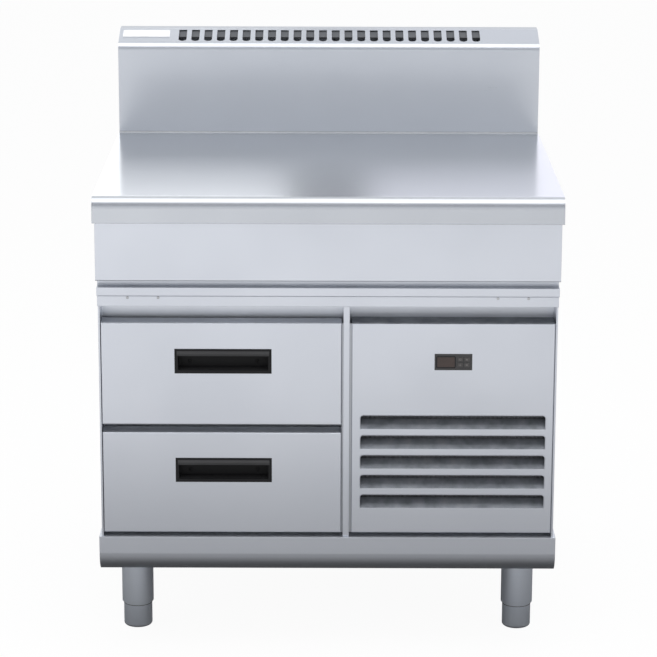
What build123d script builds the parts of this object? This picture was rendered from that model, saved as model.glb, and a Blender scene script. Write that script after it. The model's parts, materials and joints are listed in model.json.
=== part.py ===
from build123d import *

import os

# A refrigerated base with two drawers and a machine compartment, under a catering worktop
# with a splashback. Lengths are in millimetres. X runs to the right as seen from the front,
# Y runs to the back and Z runs up. The origin is on the floor, under the middle of the worktop.

os.makedirs("parts", exist_ok=True)

# Whole object: the tiers stack from the floor up
overall_width = 900.0
overall_depth = 805.0
leg_height = 155.0
plinth_height = 76.0
cabinet_height = 466.0
lid_height = 21.0
carrier_height = 16.0
shadow_gap_height = 13.5
apron_height = 117.5
worktop_edge_height = 50.0
splashback_height = 215.0
splashback_depth = 105.0

# How far each tier stands back from the worktop's edges
plinth_front_setback = 22.0
plinth_side_setback = 1.5
plinth_back_setback = 8.0
cabinet_front_setback = 27.0
cabinet_side_setback = 6.5
cabinet_back_setback = 10.0
lid_front_setback = 26.0
lid_side_setback = 5.5
lid_back_setback = 9.0
carrier_front_setback = 24.0
carrier_side_setback = 4.5
carrier_back_setback = 7.0
apron_front_setback = 22.0
apron_side_setback = 3.0
apron_back_setback = 6.0
splashback_side_setback = 1.0

# Sheet thicknesses
worktop_sheet = 1.5
heavy_sheet = 1.5
panel_sheet = 1.2
skin_sheet = 1.0
liner_sheet = 0.8

# Folds
worktop_nose_radius = 22.0
worktop_lip = 15.0
apron_bend_radius = 2.0
apron_return = 35.0
lid_return = 15.0
lid_bend_radius = 2.0
plinth_nose_radius = 42.0
plinth_return = 25.0
side_hem_width = 3.5
side_return = 15.0

# Splashback details
splashback_top_depth = 35.0
splashback_slope_rise = 24.5
splashback_nose_radius = 19.0
splashback_back_return = 20.0
splashback_seat_depth = 0.3
splashback_seat_clearance = 0.5
vent_slot_count = 24
vent_slot_pitch = 27.3
vent_slot_width = 17.0
vent_slot_length = 51.5
vent_slot_edge_distance = 6.0
vent_row_shift = 1.0
badge_width = 100.0
badge_height = 31.0
badge_thickness = 1.0
badge_end_distance = 8.0
badge_edge_distance = 9.5

# Worktop stiffeners
stiffener_count = 3
stiffener_crown = 60.0
stiffener_height = 25.0
stiffener_foot = 12.0

# Carrier frame under the apron
carrier_flange = 40.0
carrier_step = 22.0
carrier_sheet = 2.0

# Screws along the cabinet's lid
rail_screw_end_distance = 58.5
rail_screw_pair_spacing = 59.0
rail_screw_drop = 4.0
rail_screw_radius = 2.0
rail_screw_head_radius = 2.8
rail_screw_head_height = 1.2
rail_screw_length = 8.0
screw_hole_clearance = 0.1

# Front layout
drawer_bottom_gap = 8.5
drawer_middle_gap = 16.0
drawer_top_gap = 33.5
front_side_gap = 1.0
front_thickness = 55.0
service_panel_width = 392.5
post_width = 12.0
post_setback = 1.0
post_gap_left = 3.5
post_gap_right = 4.5
front_edge_radius = 2.0

# Cold compartment
insulation_side = 43.7
insulation_divider = 51.0
insulation_back = 58.0
opening_inset = 15.5
frame_sheet = 2.0
frame_corner_radius = 8.0

# Drawer
drawer_pan_depth = 41.0
drawer_cap_thickness = 2.0
gasket_width = 10.0
gasket_edge_distance = 1.5
gasket_edge_radius = 2.5
seat_clearance = 0.3
tray_end_gap = 2.0
tray_height = 125.0
tray_floor_rise = 8.0
tray_sheet = 1.2
tray_rim_width = 6.0
tray_corner_radius = 12.0

# Drawer handle
handle_width = 188.0
handle_height = 49.0
handle_left_distance = 142.0
handle_top_distance = 51.5
handle_frame_width = 3.0
handle_frame_proud = 1.5
handle_pocket_depth = 30.0
handle_lip_height = 8.0
handle_lip_thickness = 3.0
handle_clearance = 0.5

# Telescopic slides
slide_front_distance = 8.0
slide_height = 36.0
slide_rise = 7.0
slide_sheet = 1.2
slide_running_gap = 0.4
slide_pack_width = 12.6
slide_outer_flange = 9.0
slide_middle_flange = 8.4

# Legs
leg_inset_x = 66.0
leg_front_inset = 158.0
leg_back_inset = 100.0
leg_tube_radius = 31.75
foot_radius = 28.6
foot_clearance = 0.1
foot_visible_height = 52.0
foot_total_height = 125.0
foot_wall = 4.0
foot_edge_radius = 6.0
leg_plate_size = 90.0
leg_plate_thickness = 3.0

# Service panel
louvre_count = 5
louvre_width = 362.5
louvre_height = 28.0
louvre_pitch = 40.3
louvre_left_distance = 16.0
louvre_lowest_rise = 51.0
louvre_corner_radius = 7.0
louvre_blade_depth = 20.0
louvre_blade_rise = 16.0
louvre_blade_thickness = 2.0

# Controller
controller_bezel_width = 73.0
controller_bezel_height = 32.5
controller_bezel_proud = 1.5
controller_body_width = 70.5
controller_body_height = 28.5
controller_body_depth = 50.0
controller_left_distance = 160.0
controller_top_distance = 60.0
controller_edge_radius = 1.0
controller_clearance = 0.5
window_width = 34.0
window_height = 20.0
window_left_distance = 5.0
window_recess = 1.5
window_thickness = 1.2
key_width = 10.0
key_height = 8.0
key_pitch_x = 13.0
key_pitch_z = 11.0
key_block_right_distance = 17.0
key_clearance = 0.3
key_proud = 0.8
key_length = 5.0
key_pocket_depth = 7.0

# Evaporator
evaporator_room = 123.2
evaporator_cover_gap = 20.0
evaporator_fan_radius = 75.0
evaporator_fan_ring = 80.0
evaporator_fan_hub_radius = 26.0
evaporator_fan_thickness = 18.0
evaporator_fan_gap = 5.0
evaporator_motor_radius = 30.0
evaporator_motor_length = 34.0
evaporator_motor_gap = 2.0
evaporator_arm_width = 8.0
evaporator_coil_depth = 48.0
evaporator_coil_height = 230.0
evaporator_coil_side_gap = 26.0
evaporator_coil_drop = 30.0
evaporator_fin_count = 30
evaporator_tube_radius = 5.0
evaporator_tube_columns = 2
evaporator_tube_rows = 6
fin_thickness = 1.0
end_plate_thickness = 1.5
drip_tray_height = 18.0
drip_tray_overhang = 6.0
cover_slot_count = 5
cover_slot_width = 8.0
cover_slot_end_distance = 73.0

# Machine compartment
unit_tray_side_gap = 18.0
unit_tray_front_gap = 6.0
unit_tray_back_gap = 60.0
unit_tray_height = 20.0
condenser_depth = 44.0
condenser_height = 236.0
condenser_side_gap = 40.0
condenser_front_gap = 16.0
condenser_fin_count = 34
condenser_tube_rows = 7
condenser_tube_columns = 2
condenser_tube_radius = 4.8
shroud_depth = 34.0
fan_radius = 98.0
fan_ring_radius = 102.0
fan_hub_radius = 32.0
fan_thickness = 26.0
fan_blade_count = 5
fan_motor_radius = 38.0
fan_motor_length = 46.0
fan_motor_gap = 3.0
motor_shaft_radius = 4.0
shaft_clearance = 0.05
fan_arm_width = 12.0
fan_arm_thickness = 3.0
blade_pitch_angle = 28.0
blade_thickness = 2.0
blade_root_share = 0.9
blade_root_width_share = 0.5
blade_tip_share = 0.93
blade_tip_width_share = 0.22
compressor_radius = 80.0
compressor_body_height = 175.0
compressor_dome_radius = 34.0
compressor_y_distance = 330.0
compressor_shell = 12.0
compressor_foot_length = 210.0
compressor_foot_width = 150.0
compressor_foot_sheet = 4.0
compressor_foot_height = 18.0
compressor_port_radius = 9.0
compressor_port_length = 12.0
suction_port_height = 60.0
discharge_port_height = 110.0
terminal_box_width = 56.0
terminal_box_height = 50.0
terminal_box_proud = 26.0
terminal_box_rise = 50.0
electrical_box_width = 120.0
electrical_box_height = 130.0
electrical_box_depth = 70.0
electrical_box_drop = 60.0
electrical_box_side_gap = 30.0
electrical_box_radius = 6.0
gland_radius = 10.0
gland_nut_radius = 14.0
gland_nut_height = 6.0
gland_hole_clearance = 0.4

# Refrigerant pipes
suction_pipe_radius = 6.0
liquid_pipe_radius = 4.0
pipe_bend_radius = 16.0
pipe_sleeve_gap = 1.0
pipe_back_distance = 34.0
suction_pipe_drop = 100.0
liquid_pipe_drop = 148.0
suction_riser_distance = 42.0
liquid_riser_distance = 18.0
discharge_end_distance = 17.5
liquid_pipe_rise = 170.0

# Rear ventilation slots
rear_slot_count = 9
rear_slot_pitch = 22.0
rear_slot_length = 110.0
rear_slot_height = 8.0
rear_slot_rise = 40.0
rear_slot_column_gap = 24.0

# Every cut runs past its surface by this much
overrun = 5.0

# Planes of the whole object, worked out from the sizes above
front = -overall_depth / 2
back = overall_depth / 2
right = overall_width / 2
tray_low = leg_height
tray_high = tray_low + plinth_height
cabinet_high = tray_high + cabinet_height
lid_high = cabinet_high + lid_height
carrier_high = lid_high + carrier_height
apron_low = carrier_high + shadow_gap_height
worktop_low = apron_low + apron_height
worktop_high = worktop_low + worktop_edge_height
worktop_under = worktop_high - worktop_sheet
overall_height = worktop_high + splashback_height
splashback_front = back - splashback_depth
splashback_low = worktop_high - splashback_seat_depth

plinth_front = front + plinth_front_setback
plinth_back = back - plinth_back_setback
plinth_right = right - plinth_side_setback
cabinet_front = front + cabinet_front_setback
cabinet_back = back - cabinet_back_setback
cabinet_right = right - cabinet_side_setback
frame_face = cabinet_front + front_thickness
frame_back = frame_face + frame_sheet
hem_inner = cabinet_right - side_hem_width
skin_inner = cabinet_right - skin_sheet
rear_inner = cabinet_back - skin_sheet

# Front layout, from right to left
service_right = hem_inner - front_side_gap
service_left = service_right - service_panel_width
post_right = service_left - post_gap_right
post_left = post_right - post_width
drawer_right = post_left - post_gap_left
drawer_left = -hem_inner + front_side_gap
post_front = cabinet_front + post_setback
divider_left = post_right - heavy_sheet

# Front layout, from bottom to top
fronts_low = tray_high + drawer_bottom_gap
fronts_high = cabinet_high - drawer_top_gap
drawer_front_height = (fronts_high - fronts_low - drawer_middle_gap) / 2
drawer_lows = {"lower": fronts_low, "upper": fronts_low + drawer_front_height + drawer_middle_gap}

# Cold compartment inside its liner
cold_left = -skin_inner + insulation_side + liner_sheet
cold_right = divider_left - insulation_divider - liner_sheet
cold_low = fronts_low + opening_inset
cold_high = fronts_high - opening_inset
cold_back = rear_inner - insulation_back - liner_sheet

# Refrigerant pipes cross the divider beside the evaporator
pipe_y = cold_back - pipe_back_distance
suction_pipe_z = cold_high - suction_pipe_drop
liquid_pipe_z = cold_high - liquid_pipe_drop
pipes = {"suction": (suction_pipe_radius, suction_pipe_z), "liquid": (liquid_pipe_radius, liquid_pipe_z)}


def block(x_span, y_span, z_span, mode=Mode.ADD):
    """Adds a plain block between three pairs of coordinates to the open part."""
    x_low, x_high = sorted(x_span)
    y_low, y_high = sorted(y_span)
    z_low, z_high = sorted(z_span)
    with Locations((x_low, y_low, z_low)):
        Box(
            x_high - x_low,
            y_high - y_low,
            z_high - z_low,
            align=(Align.MIN, Align.MIN, Align.MIN),
            mode=mode,
        )


def facing_front(y):
    """A plane that looks to the front at depth y: its own x is X and its own y is Z."""
    return Plane(origin=(0, y, 0), x_dir=(1, 0, 0), z_dir=(0, -1, 0))


def facing_right(x):
    """A plane that looks to the right at x: its own x is Y and its own y is Z."""
    return Plane(origin=(x, 0, 0), x_dir=(0, 1, 0), z_dir=(1, 0, 0))


def flat_ring(half_width, y_span, ring_width, z_span):
    """Adds a level rectangular ring, as wide all round as ring_width, to the open part."""
    depth = y_span[1] - y_span[0]
    middle = (y_span[0] + y_span[1]) / 2
    with BuildSketch(Plane.XY.offset(z_span[0])) as ring:
        with Locations((0, middle)):
            Rectangle(2 * half_width, depth)
            Rectangle(2 * (half_width - ring_width), depth - 2 * ring_width, mode=Mode.SUBTRACT)
    extrude(to_extrude=ring.sketch, amount=z_span[1] - z_span[0])


def round_bar(radius, start, length, direction, mode=Mode.ADD):
    """Adds a round bar that starts at a point and runs along one axis to the open part."""
    with BuildSketch(Plane(origin=start, z_dir=direction)) as section:
        Circle(radius)
    extrude(to_extrude=section.sketch, amount=length, mode=mode)


def export(piece, name):
    """Labels one finished piece and writes it as a STEP file of that name."""
    piece.label = name
    export_step(piece, f"parts/{name}.step")
    print(name, "solids", len(piece.solids()), "volume", round(piece.volume))


# Worktop: one folded sheet with a round nose at the front, a folded lip under it and a shallow
# pressed seat at the back that the splashback stands in
with BuildPart() as worktop:
    block((-right, right), (front, back), (worktop_low, worktop_high))
    nose_edge = worktop.edges().filter_by(Axis.X).group_by(Axis.Z)[-1].sort_by(Axis.Y)[0]
    fillet(nose_edge, worktop_nose_radius)
    offset(amount=-worktop_sheet, openings=worktop.faces().sort_by(Axis.Z)[0])
    block(
        (-right + worktop_sheet, right - worktop_sheet),
        (front + worktop_sheet, front + worktop_sheet + worktop_lip),
        (worktop_low, worktop_low + worktop_sheet),
    )
    block(
        (-right, right),
        (splashback_front - splashback_seat_clearance, back),
        (splashback_low, worktop_high),
        mode=Mode.SUBTRACT,
    )
worktop.part.label = "worktop"
export_step(worktop.part, "parts/worktop.step")

# Apron: four folded panels that carry the worktop's sheet from below
apron_front = front + apron_front_setback
apron_back = back - apron_back_setback
apron_right = right - apron_side_setback

with BuildPart() as front_apron:
    block((-apron_right, apron_right), (apron_front, apron_front + apron_return), (apron_low, worktop_under))
    underfold_edge = front_apron.edges().filter_by(Axis.X).group_by(Axis.Z)[0].sort_by(Axis.Y)[0]
    fillet(underfold_edge, apron_bend_radius)
    offset(amount=-panel_sheet, openings=front_apron.faces().sort_by(Axis.Y)[-1])
front_apron.part.label = "front_apron"
export_step(front_apron.part, "parts/front_apron.step")

with BuildPart() as rear_apron:
    block((-apron_right, apron_right), (apron_back - apron_return, apron_back), (apron_low, worktop_under))
    underfold_edge = rear_apron.edges().filter_by(Axis.X).group_by(Axis.Z)[0].sort_by(Axis.Y)[-1]
    fillet(underfold_edge, apron_bend_radius)
    offset(amount=-panel_sheet, openings=rear_apron.faces().sort_by(Axis.Y)[0])
rear_apron.part.label = "rear_apron"
export_step(rear_apron.part, "parts/rear_apron.step")

for side_name, side in (("left", -1), ("right", 1)):
    with BuildPart() as apron_side:
        block(
            (side * apron_right, side * (apron_right - apron_return)),
            (apron_front + apron_return, apron_back - apron_return),
            (apron_low, worktop_under),
        )
        outer_edges = apron_side.edges().filter_by(Axis.Y).group_by(Axis.Z)[0].sort_by(Axis.X)
        fillet(outer_edges[-1 if side > 0 else 0], apron_bend_radius)
        side_ends = apron_side.faces().filter_by(Axis.Y)
        side_inner_face = apron_side.faces().sort_by(Axis.X)[0 if side > 0 else -1]
        offset(amount=-panel_sheet, openings=[side_inner_face, *side_ends])
    export(apron_side.part, f"{side_name}_apron")

# Stiffeners: hat sections glued under the worktop's sheet, between the apron's side folds
stiffener_end = apron_right - apron_return
stiffener_room = overall_depth - apron_front_setback - apron_back_setback - 2 * apron_return
stiffener_step = stiffener_room / (stiffener_count + 1)
with BuildPart() as stiffeners:
    for index in range(stiffener_count):
        middle = apron_front + apron_return + stiffener_step * (index + 1)
        crown_front = middle - stiffener_crown / 2
        crown_back = middle + stiffener_crown / 2
        foot_low = worktop_under - stiffener_height
        span = (-stiffener_end, stiffener_end)
        block(span, (crown_front, crown_back), (worktop_under - panel_sheet, worktop_under))
        block(span, (crown_front, crown_front + panel_sheet), (foot_low, worktop_under))
        block(span, (crown_back - panel_sheet, crown_back), (foot_low, worktop_under))
        block(span, (crown_front - stiffener_foot, crown_front), (foot_low, foot_low + panel_sheet))
        block(span, (crown_back, crown_back + stiffener_foot), (foot_low, foot_low + panel_sheet))
stiffeners.part.label = "worktop_stiffeners"
export_step(stiffeners.part, "parts/worktop_stiffeners.step")

# Splashback: a folded sheet with closed ends, a round nose and a slotted slope at the top
splashback_right = right - splashback_side_setback
slope_top_y = back - splashback_top_depth
slope_low_z = overall_height - splashback_slope_rise
slope_run = slope_top_y - splashback_front
slope_plane = Plane(
    origin=(0, slope_top_y, overall_height),
    x_dir=(1, 0, 0),
    z_dir=(0, -splashback_slope_rise, slope_run),
)

with BuildPart() as splashback:
    with BuildSketch(facing_right(-splashback_right)):
        with BuildLine():
            Polyline(
                (splashback_front, splashback_low),
                (splashback_front, slope_low_z),
                (slope_top_y, overall_height),
                (back, overall_height),
                (back, splashback_low),
                close=True,
            )
        make_face()
    extrude(amount=2 * splashback_right)
    nose_edge = splashback.edges().filter_by(Axis.X).group_by(Axis.Y)[0].sort_by(Axis.Z)[-1]
    fillet(nose_edge, splashback_nose_radius)
    under_face = splashback.faces().sort_by(Axis.Z)[0]
    rear_face = splashback.faces().sort_by(Axis.Y)[-1]
    offset(amount=-panel_sheet, openings=[under_face, rear_face])
    inner_span = (-splashback_right + panel_sheet, splashback_right - panel_sheet)
    block(inner_span, (back - panel_sheet, back), (overall_height - splashback_back_return, overall_height))
    block(
        inner_span,
        (splashback_front, splashback_front + splashback_back_return),
        (splashback_low, splashback_low + panel_sheet),
    )
    straight_length = vent_slot_length - vent_slot_width / 2
    row_start = vent_row_shift - vent_slot_pitch * (vent_slot_count - 1) / 2
    with BuildSketch(slope_plane) as vent_slots:
        for index in range(vent_slot_count):
            slot_x = row_start + vent_slot_pitch * index
            with Locations((slot_x, -vent_slot_edge_distance)):
                Rectangle(vent_slot_width, straight_length, align=(Align.CENTER, Align.MAX))
            with Locations((slot_x, -vent_slot_edge_distance - straight_length)):
                Circle(vent_slot_width / 2)
    extrude(to_extrude=vent_slots.sketch, amount=-overrun, mode=Mode.SUBTRACT)
splashback.part.label = "splashback"
export_step(splashback.part, "parts/splashback.step")

with BuildPart() as splashback_cover:
    block(
        (-splashback_right + panel_sheet, splashback_right - panel_sheet),
        (back - panel_sheet, back),
        (splashback_low, overall_height - splashback_back_return),
    )
splashback_cover.part.label = "splashback_back_cover"
export_step(splashback_cover.part, "parts/splashback_back_cover.step")

with BuildPart() as badge:
    badge_middle = -splashback_right + badge_end_distance + badge_width / 2
    with BuildSketch(slope_plane):
        with Locations((badge_middle, -badge_edge_distance)):
            Rectangle(badge_width, badge_height, align=(Align.CENTER, Align.MAX))
    extrude(amount=badge_thickness)
badge.part.label = "blank_badge"
export_step(badge.part, "parts/blank_badge.step")

# Carrier frame: two stepped tiers of channel between the cabinet and the apron
carrier_front = front + carrier_front_setback
carrier_back = back - carrier_back_setback
carrier_right = right - carrier_side_setback
step_front = carrier_front + carrier_step
step_back = carrier_back - carrier_step
with BuildPart() as carrier:
    lower_span = (carrier_front, carrier_back)
    upper_span = (step_front, step_back)
    flat_ring(carrier_right, lower_span, carrier_flange, (lid_high, lid_high + carrier_sheet))
    flat_ring(carrier_right, lower_span, carrier_flange, (carrier_high - carrier_sheet, carrier_high))
    flat_ring(carrier_right, lower_span, carrier_sheet, (lid_high, carrier_high))
    flat_ring(carrier_right, upper_span, carrier_sheet, (carrier_high, apron_low))
    flat_ring(carrier_right, upper_span, carrier_flange, (apron_low - carrier_sheet, apron_low))
carrier.part.label = "carrier_frame"
export_step(carrier.part, "parts/carrier_frame.step")

# Cabinet lid: a shallow folded tray, turned in under its front edge as far as the drawer frame
lid_front = front + lid_front_setback
lid_back = back - lid_back_setback
lid_right = right - lid_side_setback
rail_screw_z = lid_high - rail_screw_drop
rail_screw_xs = [
    side * (lid_right - rail_screw_end_distance - offset_x)
    for side in (-1, 1)
    for offset_x in (0, rail_screw_pair_spacing)
]
service_frame_low = cold_high
with BuildPart() as lid:
    block((-lid_right, lid_right), (lid_front, lid_back), (cabinet_high, lid_high))
    lid_top_edges = lid.edges().group_by(Axis.Z)[-1]
    fillet(lid_top_edges, lid_bend_radius)
    offset(amount=-panel_sheet, openings=lid.faces().sort_by(Axis.Z)[0])
    lid_fold = (cabinet_high, cabinet_high + panel_sheet)
    block((-lid_right, lid_right), (lid_front, frame_back), lid_fold)
    block((-lid_right, lid_right), (lid_back - lid_return, lid_back), lid_fold)
    for side in (-1, 1):
        block((side * lid_right, side * (lid_right - lid_return)), (lid_front, lid_back), lid_fold)
    block(
        (post_right, hem_inner),
        (frame_face, frame_face + panel_sheet),
        (service_frame_low, cabinet_high + panel_sheet),
    )
    with BuildSketch(facing_front(lid_front)) as screw_holes:
        for screw_x in rail_screw_xs:
            with Locations((screw_x, rail_screw_z)):
                Circle(rail_screw_radius + screw_hole_clearance)
    extrude(to_extrude=screw_holes.sketch, amount=-overrun, mode=Mode.SUBTRACT)
lid.part.label = "cabinet_lid"
export_step(lid.part, "parts/cabinet_lid.step")

with BuildPart() as rail_screws:
    for screw_x in rail_screw_xs:
        screw_seat = (screw_x, lid_front, rail_screw_z)
        round_bar(rail_screw_radius, screw_seat, rail_screw_length, (0, 1, 0))
        round_bar(rail_screw_head_radius, screw_seat, rail_screw_head_height, (0, -1, 0))
    head_rims = rail_screws.edges().filter_by(GeomType.CIRCLE).group_by(Axis.Y)[0]
    fillet(head_rims, rail_screw_head_height / 2)
rail_screws.part.label = "rail_screws"
export_step(rail_screws.part, "parts/rail_screws.step")

# Side panels: an outer skin folded round the front edge, with folds at the top and bottom
for side_name, side in (("left", -1), ("right", 1)):
    with BuildPart() as side_panel:
        skin_span = (side * cabinet_right, side * skin_inner)
        hem_span = (side * cabinet_right, side * hem_inner)
        inner_span = (side * hem_inner, side * (hem_inner + skin_sheet))
        fold_span = (side * cabinet_right, side * (cabinet_right - side_return))
        block(skin_span, (cabinet_front, cabinet_back), (tray_high, cabinet_high))
        block(hem_span, (cabinet_front, cabinet_front + skin_sheet), (tray_high, cabinet_high))
        block(inner_span, (cabinet_front, frame_face), (tray_high, cabinet_high))
        block(fold_span, (frame_back, rear_inner), (tray_high, tray_high + skin_sheet))
        block(fold_span, (frame_back, rear_inner), (cabinet_high - skin_sheet, cabinet_high))
    export(side_panel.part, f"{side_name}_side_panel")

# Rear panel with ventilation slots behind the machine compartment and a hole for the gland
electrical_right = skin_inner - electrical_box_side_gap
electrical_left = electrical_right - electrical_box_width
electrical_high = cabinet_high - electrical_box_drop
electrical_low = electrical_high - electrical_box_height
gland_x = (electrical_left + electrical_right) / 2
gland_z = (electrical_low + electrical_high) / 2
rear_slot_middle = (post_right + skin_inner) / 2
rear_slot_centre_z = tray_high + rear_slot_rise + rear_slot_pitch * (rear_slot_count - 1) / 2
with BuildPart() as rear_panel:
    block((-skin_inner, skin_inner), (rear_inner, cabinet_back), (tray_high, cabinet_high))
    with BuildSketch(facing_front(rear_inner)) as rear_cuts:
        with Locations((rear_slot_middle, rear_slot_centre_z)):
            with GridLocations(rear_slot_length + rear_slot_column_gap, rear_slot_pitch, 2, rear_slot_count):
                SlotOverall(rear_slot_length, rear_slot_height)
        with Locations((gland_x, gland_z)):
            Circle(gland_radius + gland_hole_clearance)
    extrude(to_extrude=rear_cuts.sketch, amount=-overrun, mode=Mode.SUBTRACT)
rear_panel.part.label = "rear_panel"
export_step(rear_panel.part, "parts/rear_panel.step")

# Base plinth: a deep folded tray with a large round under its front
plinth_floor = tray_low + heavy_sheet
with BuildPart() as plinth:
    block((-plinth_right, plinth_right), (plinth_front, plinth_back), (tray_low, tray_high))
    round_edge = plinth.edges().filter_by(Axis.X).group_by(Axis.Z)[0].sort_by(Axis.Y)[0]
    fillet(round_edge, plinth_nose_radius)
    offset(amount=-heavy_sheet, openings=plinth.faces().sort_by(Axis.Z)[-1])
    plinth_fold = (tray_high - heavy_sheet, tray_high)
    block((-plinth_right, plinth_right), (plinth_front, frame_back), plinth_fold)
    block((-plinth_right, plinth_right), (plinth_back - plinth_return, plinth_back), plinth_fold)
    for side in (-1, 1):
        block(
            (side * plinth_right, side * (plinth_right - plinth_return)),
            (plinth_front, plinth_back),
            plinth_fold,
        )
    block(
        (post_right, hem_inner),
        (frame_face, frame_face + heavy_sheet),
        (tray_high - heavy_sheet, fronts_low + opening_inset),
    )
plinth.part.label = "base_plinth"
export_step(plinth.part, "parts/base_plinth.step")

# Post between the drawers and the service panel, folded on into the divider sheet behind it
divider_front = frame_back
divider_back = plinth_back - plinth_return
with BuildPart() as post:
    block((post_left, post_right), (post_front, post_front + heavy_sheet), (tray_high, cabinet_high))
    block((post_left, post_left + heavy_sheet), (post_front, frame_face), (tray_high, cabinet_high))
    block((divider_left, post_right), (post_front, rear_inner), (tray_high, cabinet_high))
    block((divider_left, post_right), (divider_front, divider_back), (plinth_floor, tray_high))
    for pipe_radius, pipe_z in pipes.values():
        hole_start = (divider_left - overrun, pipe_y, pipe_z)
        hole_length = heavy_sheet + 2 * overrun
        round_bar(pipe_radius + pipe_sleeve_gap, hole_start, hole_length, (1, 0, 0), Mode.SUBTRACT)
post.part.label = "mullion_post"
export_step(post.part, "parts/mullion_post.step")

# Drawer frame: the flat plate that the gaskets close on, with an opening for each drawer
with BuildPart() as drawer_frame:
    block((-skin_inner, divider_left), (frame_face, frame_back), (tray_high, cabinet_high))
    for drawer_low in drawer_lows.values():
        with BuildSketch(facing_front(frame_face)) as frame_opening:
            with Locations(((cold_left + cold_right) / 2, drawer_low + drawer_front_height / 2)):
                RectangleRounded(
                    cold_right - cold_left,
                    drawer_front_height - 2 * opening_inset,
                    frame_corner_radius,
                )
        extrude(to_extrude=frame_opening.sketch, amount=-frame_sheet - overrun, mode=Mode.SUBTRACT)
drawer_frame.part.label = "drawer_frame"
export_step(drawer_frame.part, "parts/drawer_frame.step")

# Liner and foam of the cold compartment
with BuildPart() as liner:
    block(
        (cold_left - liner_sheet, cold_right + liner_sheet),
        (frame_back, cold_back + liner_sheet),
        (cold_low - liner_sheet, cold_high + liner_sheet),
    )
    block(
        (cold_left, cold_right),
        (frame_back - overrun, cold_back),
        (cold_low, cold_high),
        Mode.SUBTRACT,
    )
    for pipe_radius, pipe_z in pipes.values():
        hole_start = (cold_right - overrun, pipe_y, pipe_z)
        hole_length = liner_sheet + 2 * overrun
        round_bar(pipe_radius + pipe_sleeve_gap, hole_start, hole_length, (1, 0, 0), Mode.SUBTRACT)
liner.part.label = "cold_liner"
export_step(liner.part, "parts/cold_liner.step")

foam_upper_left = -cabinet_right + side_return
foam_lower_left = -plinth_right + plinth_return
with BuildPart() as foam:
    block(
        (-skin_inner, divider_left),
        (frame_back, rear_inner),
        (tray_high + skin_sheet, cabinet_high - skin_sheet),
    )
    block(
        (foam_lower_left, divider_left),
        (frame_back, divider_back),
        (plinth_floor, tray_high + skin_sheet),
    )
    block(
        (foam_upper_left, divider_left),
        (frame_back, lid_back - lid_return),
        (cabinet_high - skin_sheet, lid_high - panel_sheet),
    )
    block(
        (cold_left - liner_sheet, cold_right + liner_sheet),
        (frame_back - overrun, cold_back + liner_sheet),
        (cold_low - liner_sheet, cold_high + liner_sheet),
        Mode.SUBTRACT,
    )
    for pipe_radius, pipe_z in pipes.values():
        hole_start = (cold_right, pipe_y, pipe_z)
        hole_length = insulation_divider + overrun
        round_bar(pipe_radius + pipe_sleeve_gap, hole_start, hole_length, (1, 0, 0), Mode.SUBTRACT)
foam.part.label = "insulation"
export_step(foam.part, "parts/insulation.step")

# Legs: four tubes under the plinth, each with a foot that screws in and out to level the base
leg_x = right - leg_inset_x
leg_front_y = front + leg_front_inset
leg_back_y = back - leg_back_inset
leg_places = {
    "front_left": (-leg_x, leg_front_y),
    "front_right": (leg_x, leg_front_y),
    "rear_left": (-leg_x, leg_back_y),
    "rear_right": (leg_x, leg_back_y),
}
with BuildPart() as leg_tubes:
    for place in leg_places.values():
        with BuildSketch(Plane.XY.offset(foot_visible_height)) as tube_section:
            with Locations(place):
                Circle(leg_tube_radius)
                Circle(foot_radius + foot_clearance, mode=Mode.SUBTRACT)
        extrude(to_extrude=tube_section.sketch, amount=tray_low - foot_visible_height)
        with BuildSketch(Plane.XY.offset(tray_low - leg_plate_thickness)) as plate_section:
            with Locations(place):
                Rectangle(leg_plate_size, leg_plate_size)
        extrude(to_extrude=plate_section.sketch, amount=leg_plate_thickness)
leg_tubes.part.label = "leg_tubes"
export_step(leg_tubes.part, "parts/leg_tubes.step")

for leg_name, place in leg_places.items():
    with BuildPart() as foot:
        with BuildSketch():
            with Locations(place):
                Circle(foot_radius)
        extrude(amount=foot_total_height)
        foot_rim = foot.edges().sort_by(Axis.Z)[0]
        fillet(foot_rim, foot_edge_radius)
        with BuildSketch(Plane.XY.offset(foot_wall)):
            with Locations(place):
                Circle(foot_radius - foot_wall)
        extrude(amount=foot_total_height, mode=Mode.SUBTRACT)
    export(foot.part, f"{leg_name}_foot")

# Slides: each side has an outer channel on the liner, a middle channel and an inner channel
cover_front = cold_back - evaporator_room
slide_y = (frame_back + slide_front_distance, cover_front - evaporator_cover_gap)
middle_inset = slide_sheet + slide_running_gap
inner_inset = middle_inset + slide_sheet + slide_running_gap
slide_low_edges = {
    level: low + opening_inset + tray_floor_rise + slide_rise for level, low in drawer_lows.items()
}


def slide_channel(wall_x, side, start, depth, z_low, height, web_at_wall):
    """Adds one channel of a slide: side is +1 where the wall is on the left of the drawer."""
    near = wall_x + side * start
    far = wall_x + side * (start + depth)
    web_near = near if web_at_wall else far - side * slide_sheet
    block((web_near, web_near + side * slide_sheet), slide_y, (z_low, z_low + height))
    block((near, far), slide_y, (z_low, z_low + slide_sheet))
    block((near, far), slide_y, (z_low + height - slide_sheet, z_low + height))


slide_walls = ((cold_left, 1), (cold_right, -1))
with BuildPart() as slide_outers:
    for z_low in slide_low_edges.values():
        for wall_x, side in slide_walls:
            slide_channel(wall_x, side, 0, slide_outer_flange, z_low, slide_height, True)
slide_outers.part.label = "slide_outer_channels"
export_step(slide_outers.part, "parts/slide_outer_channels.step")

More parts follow.
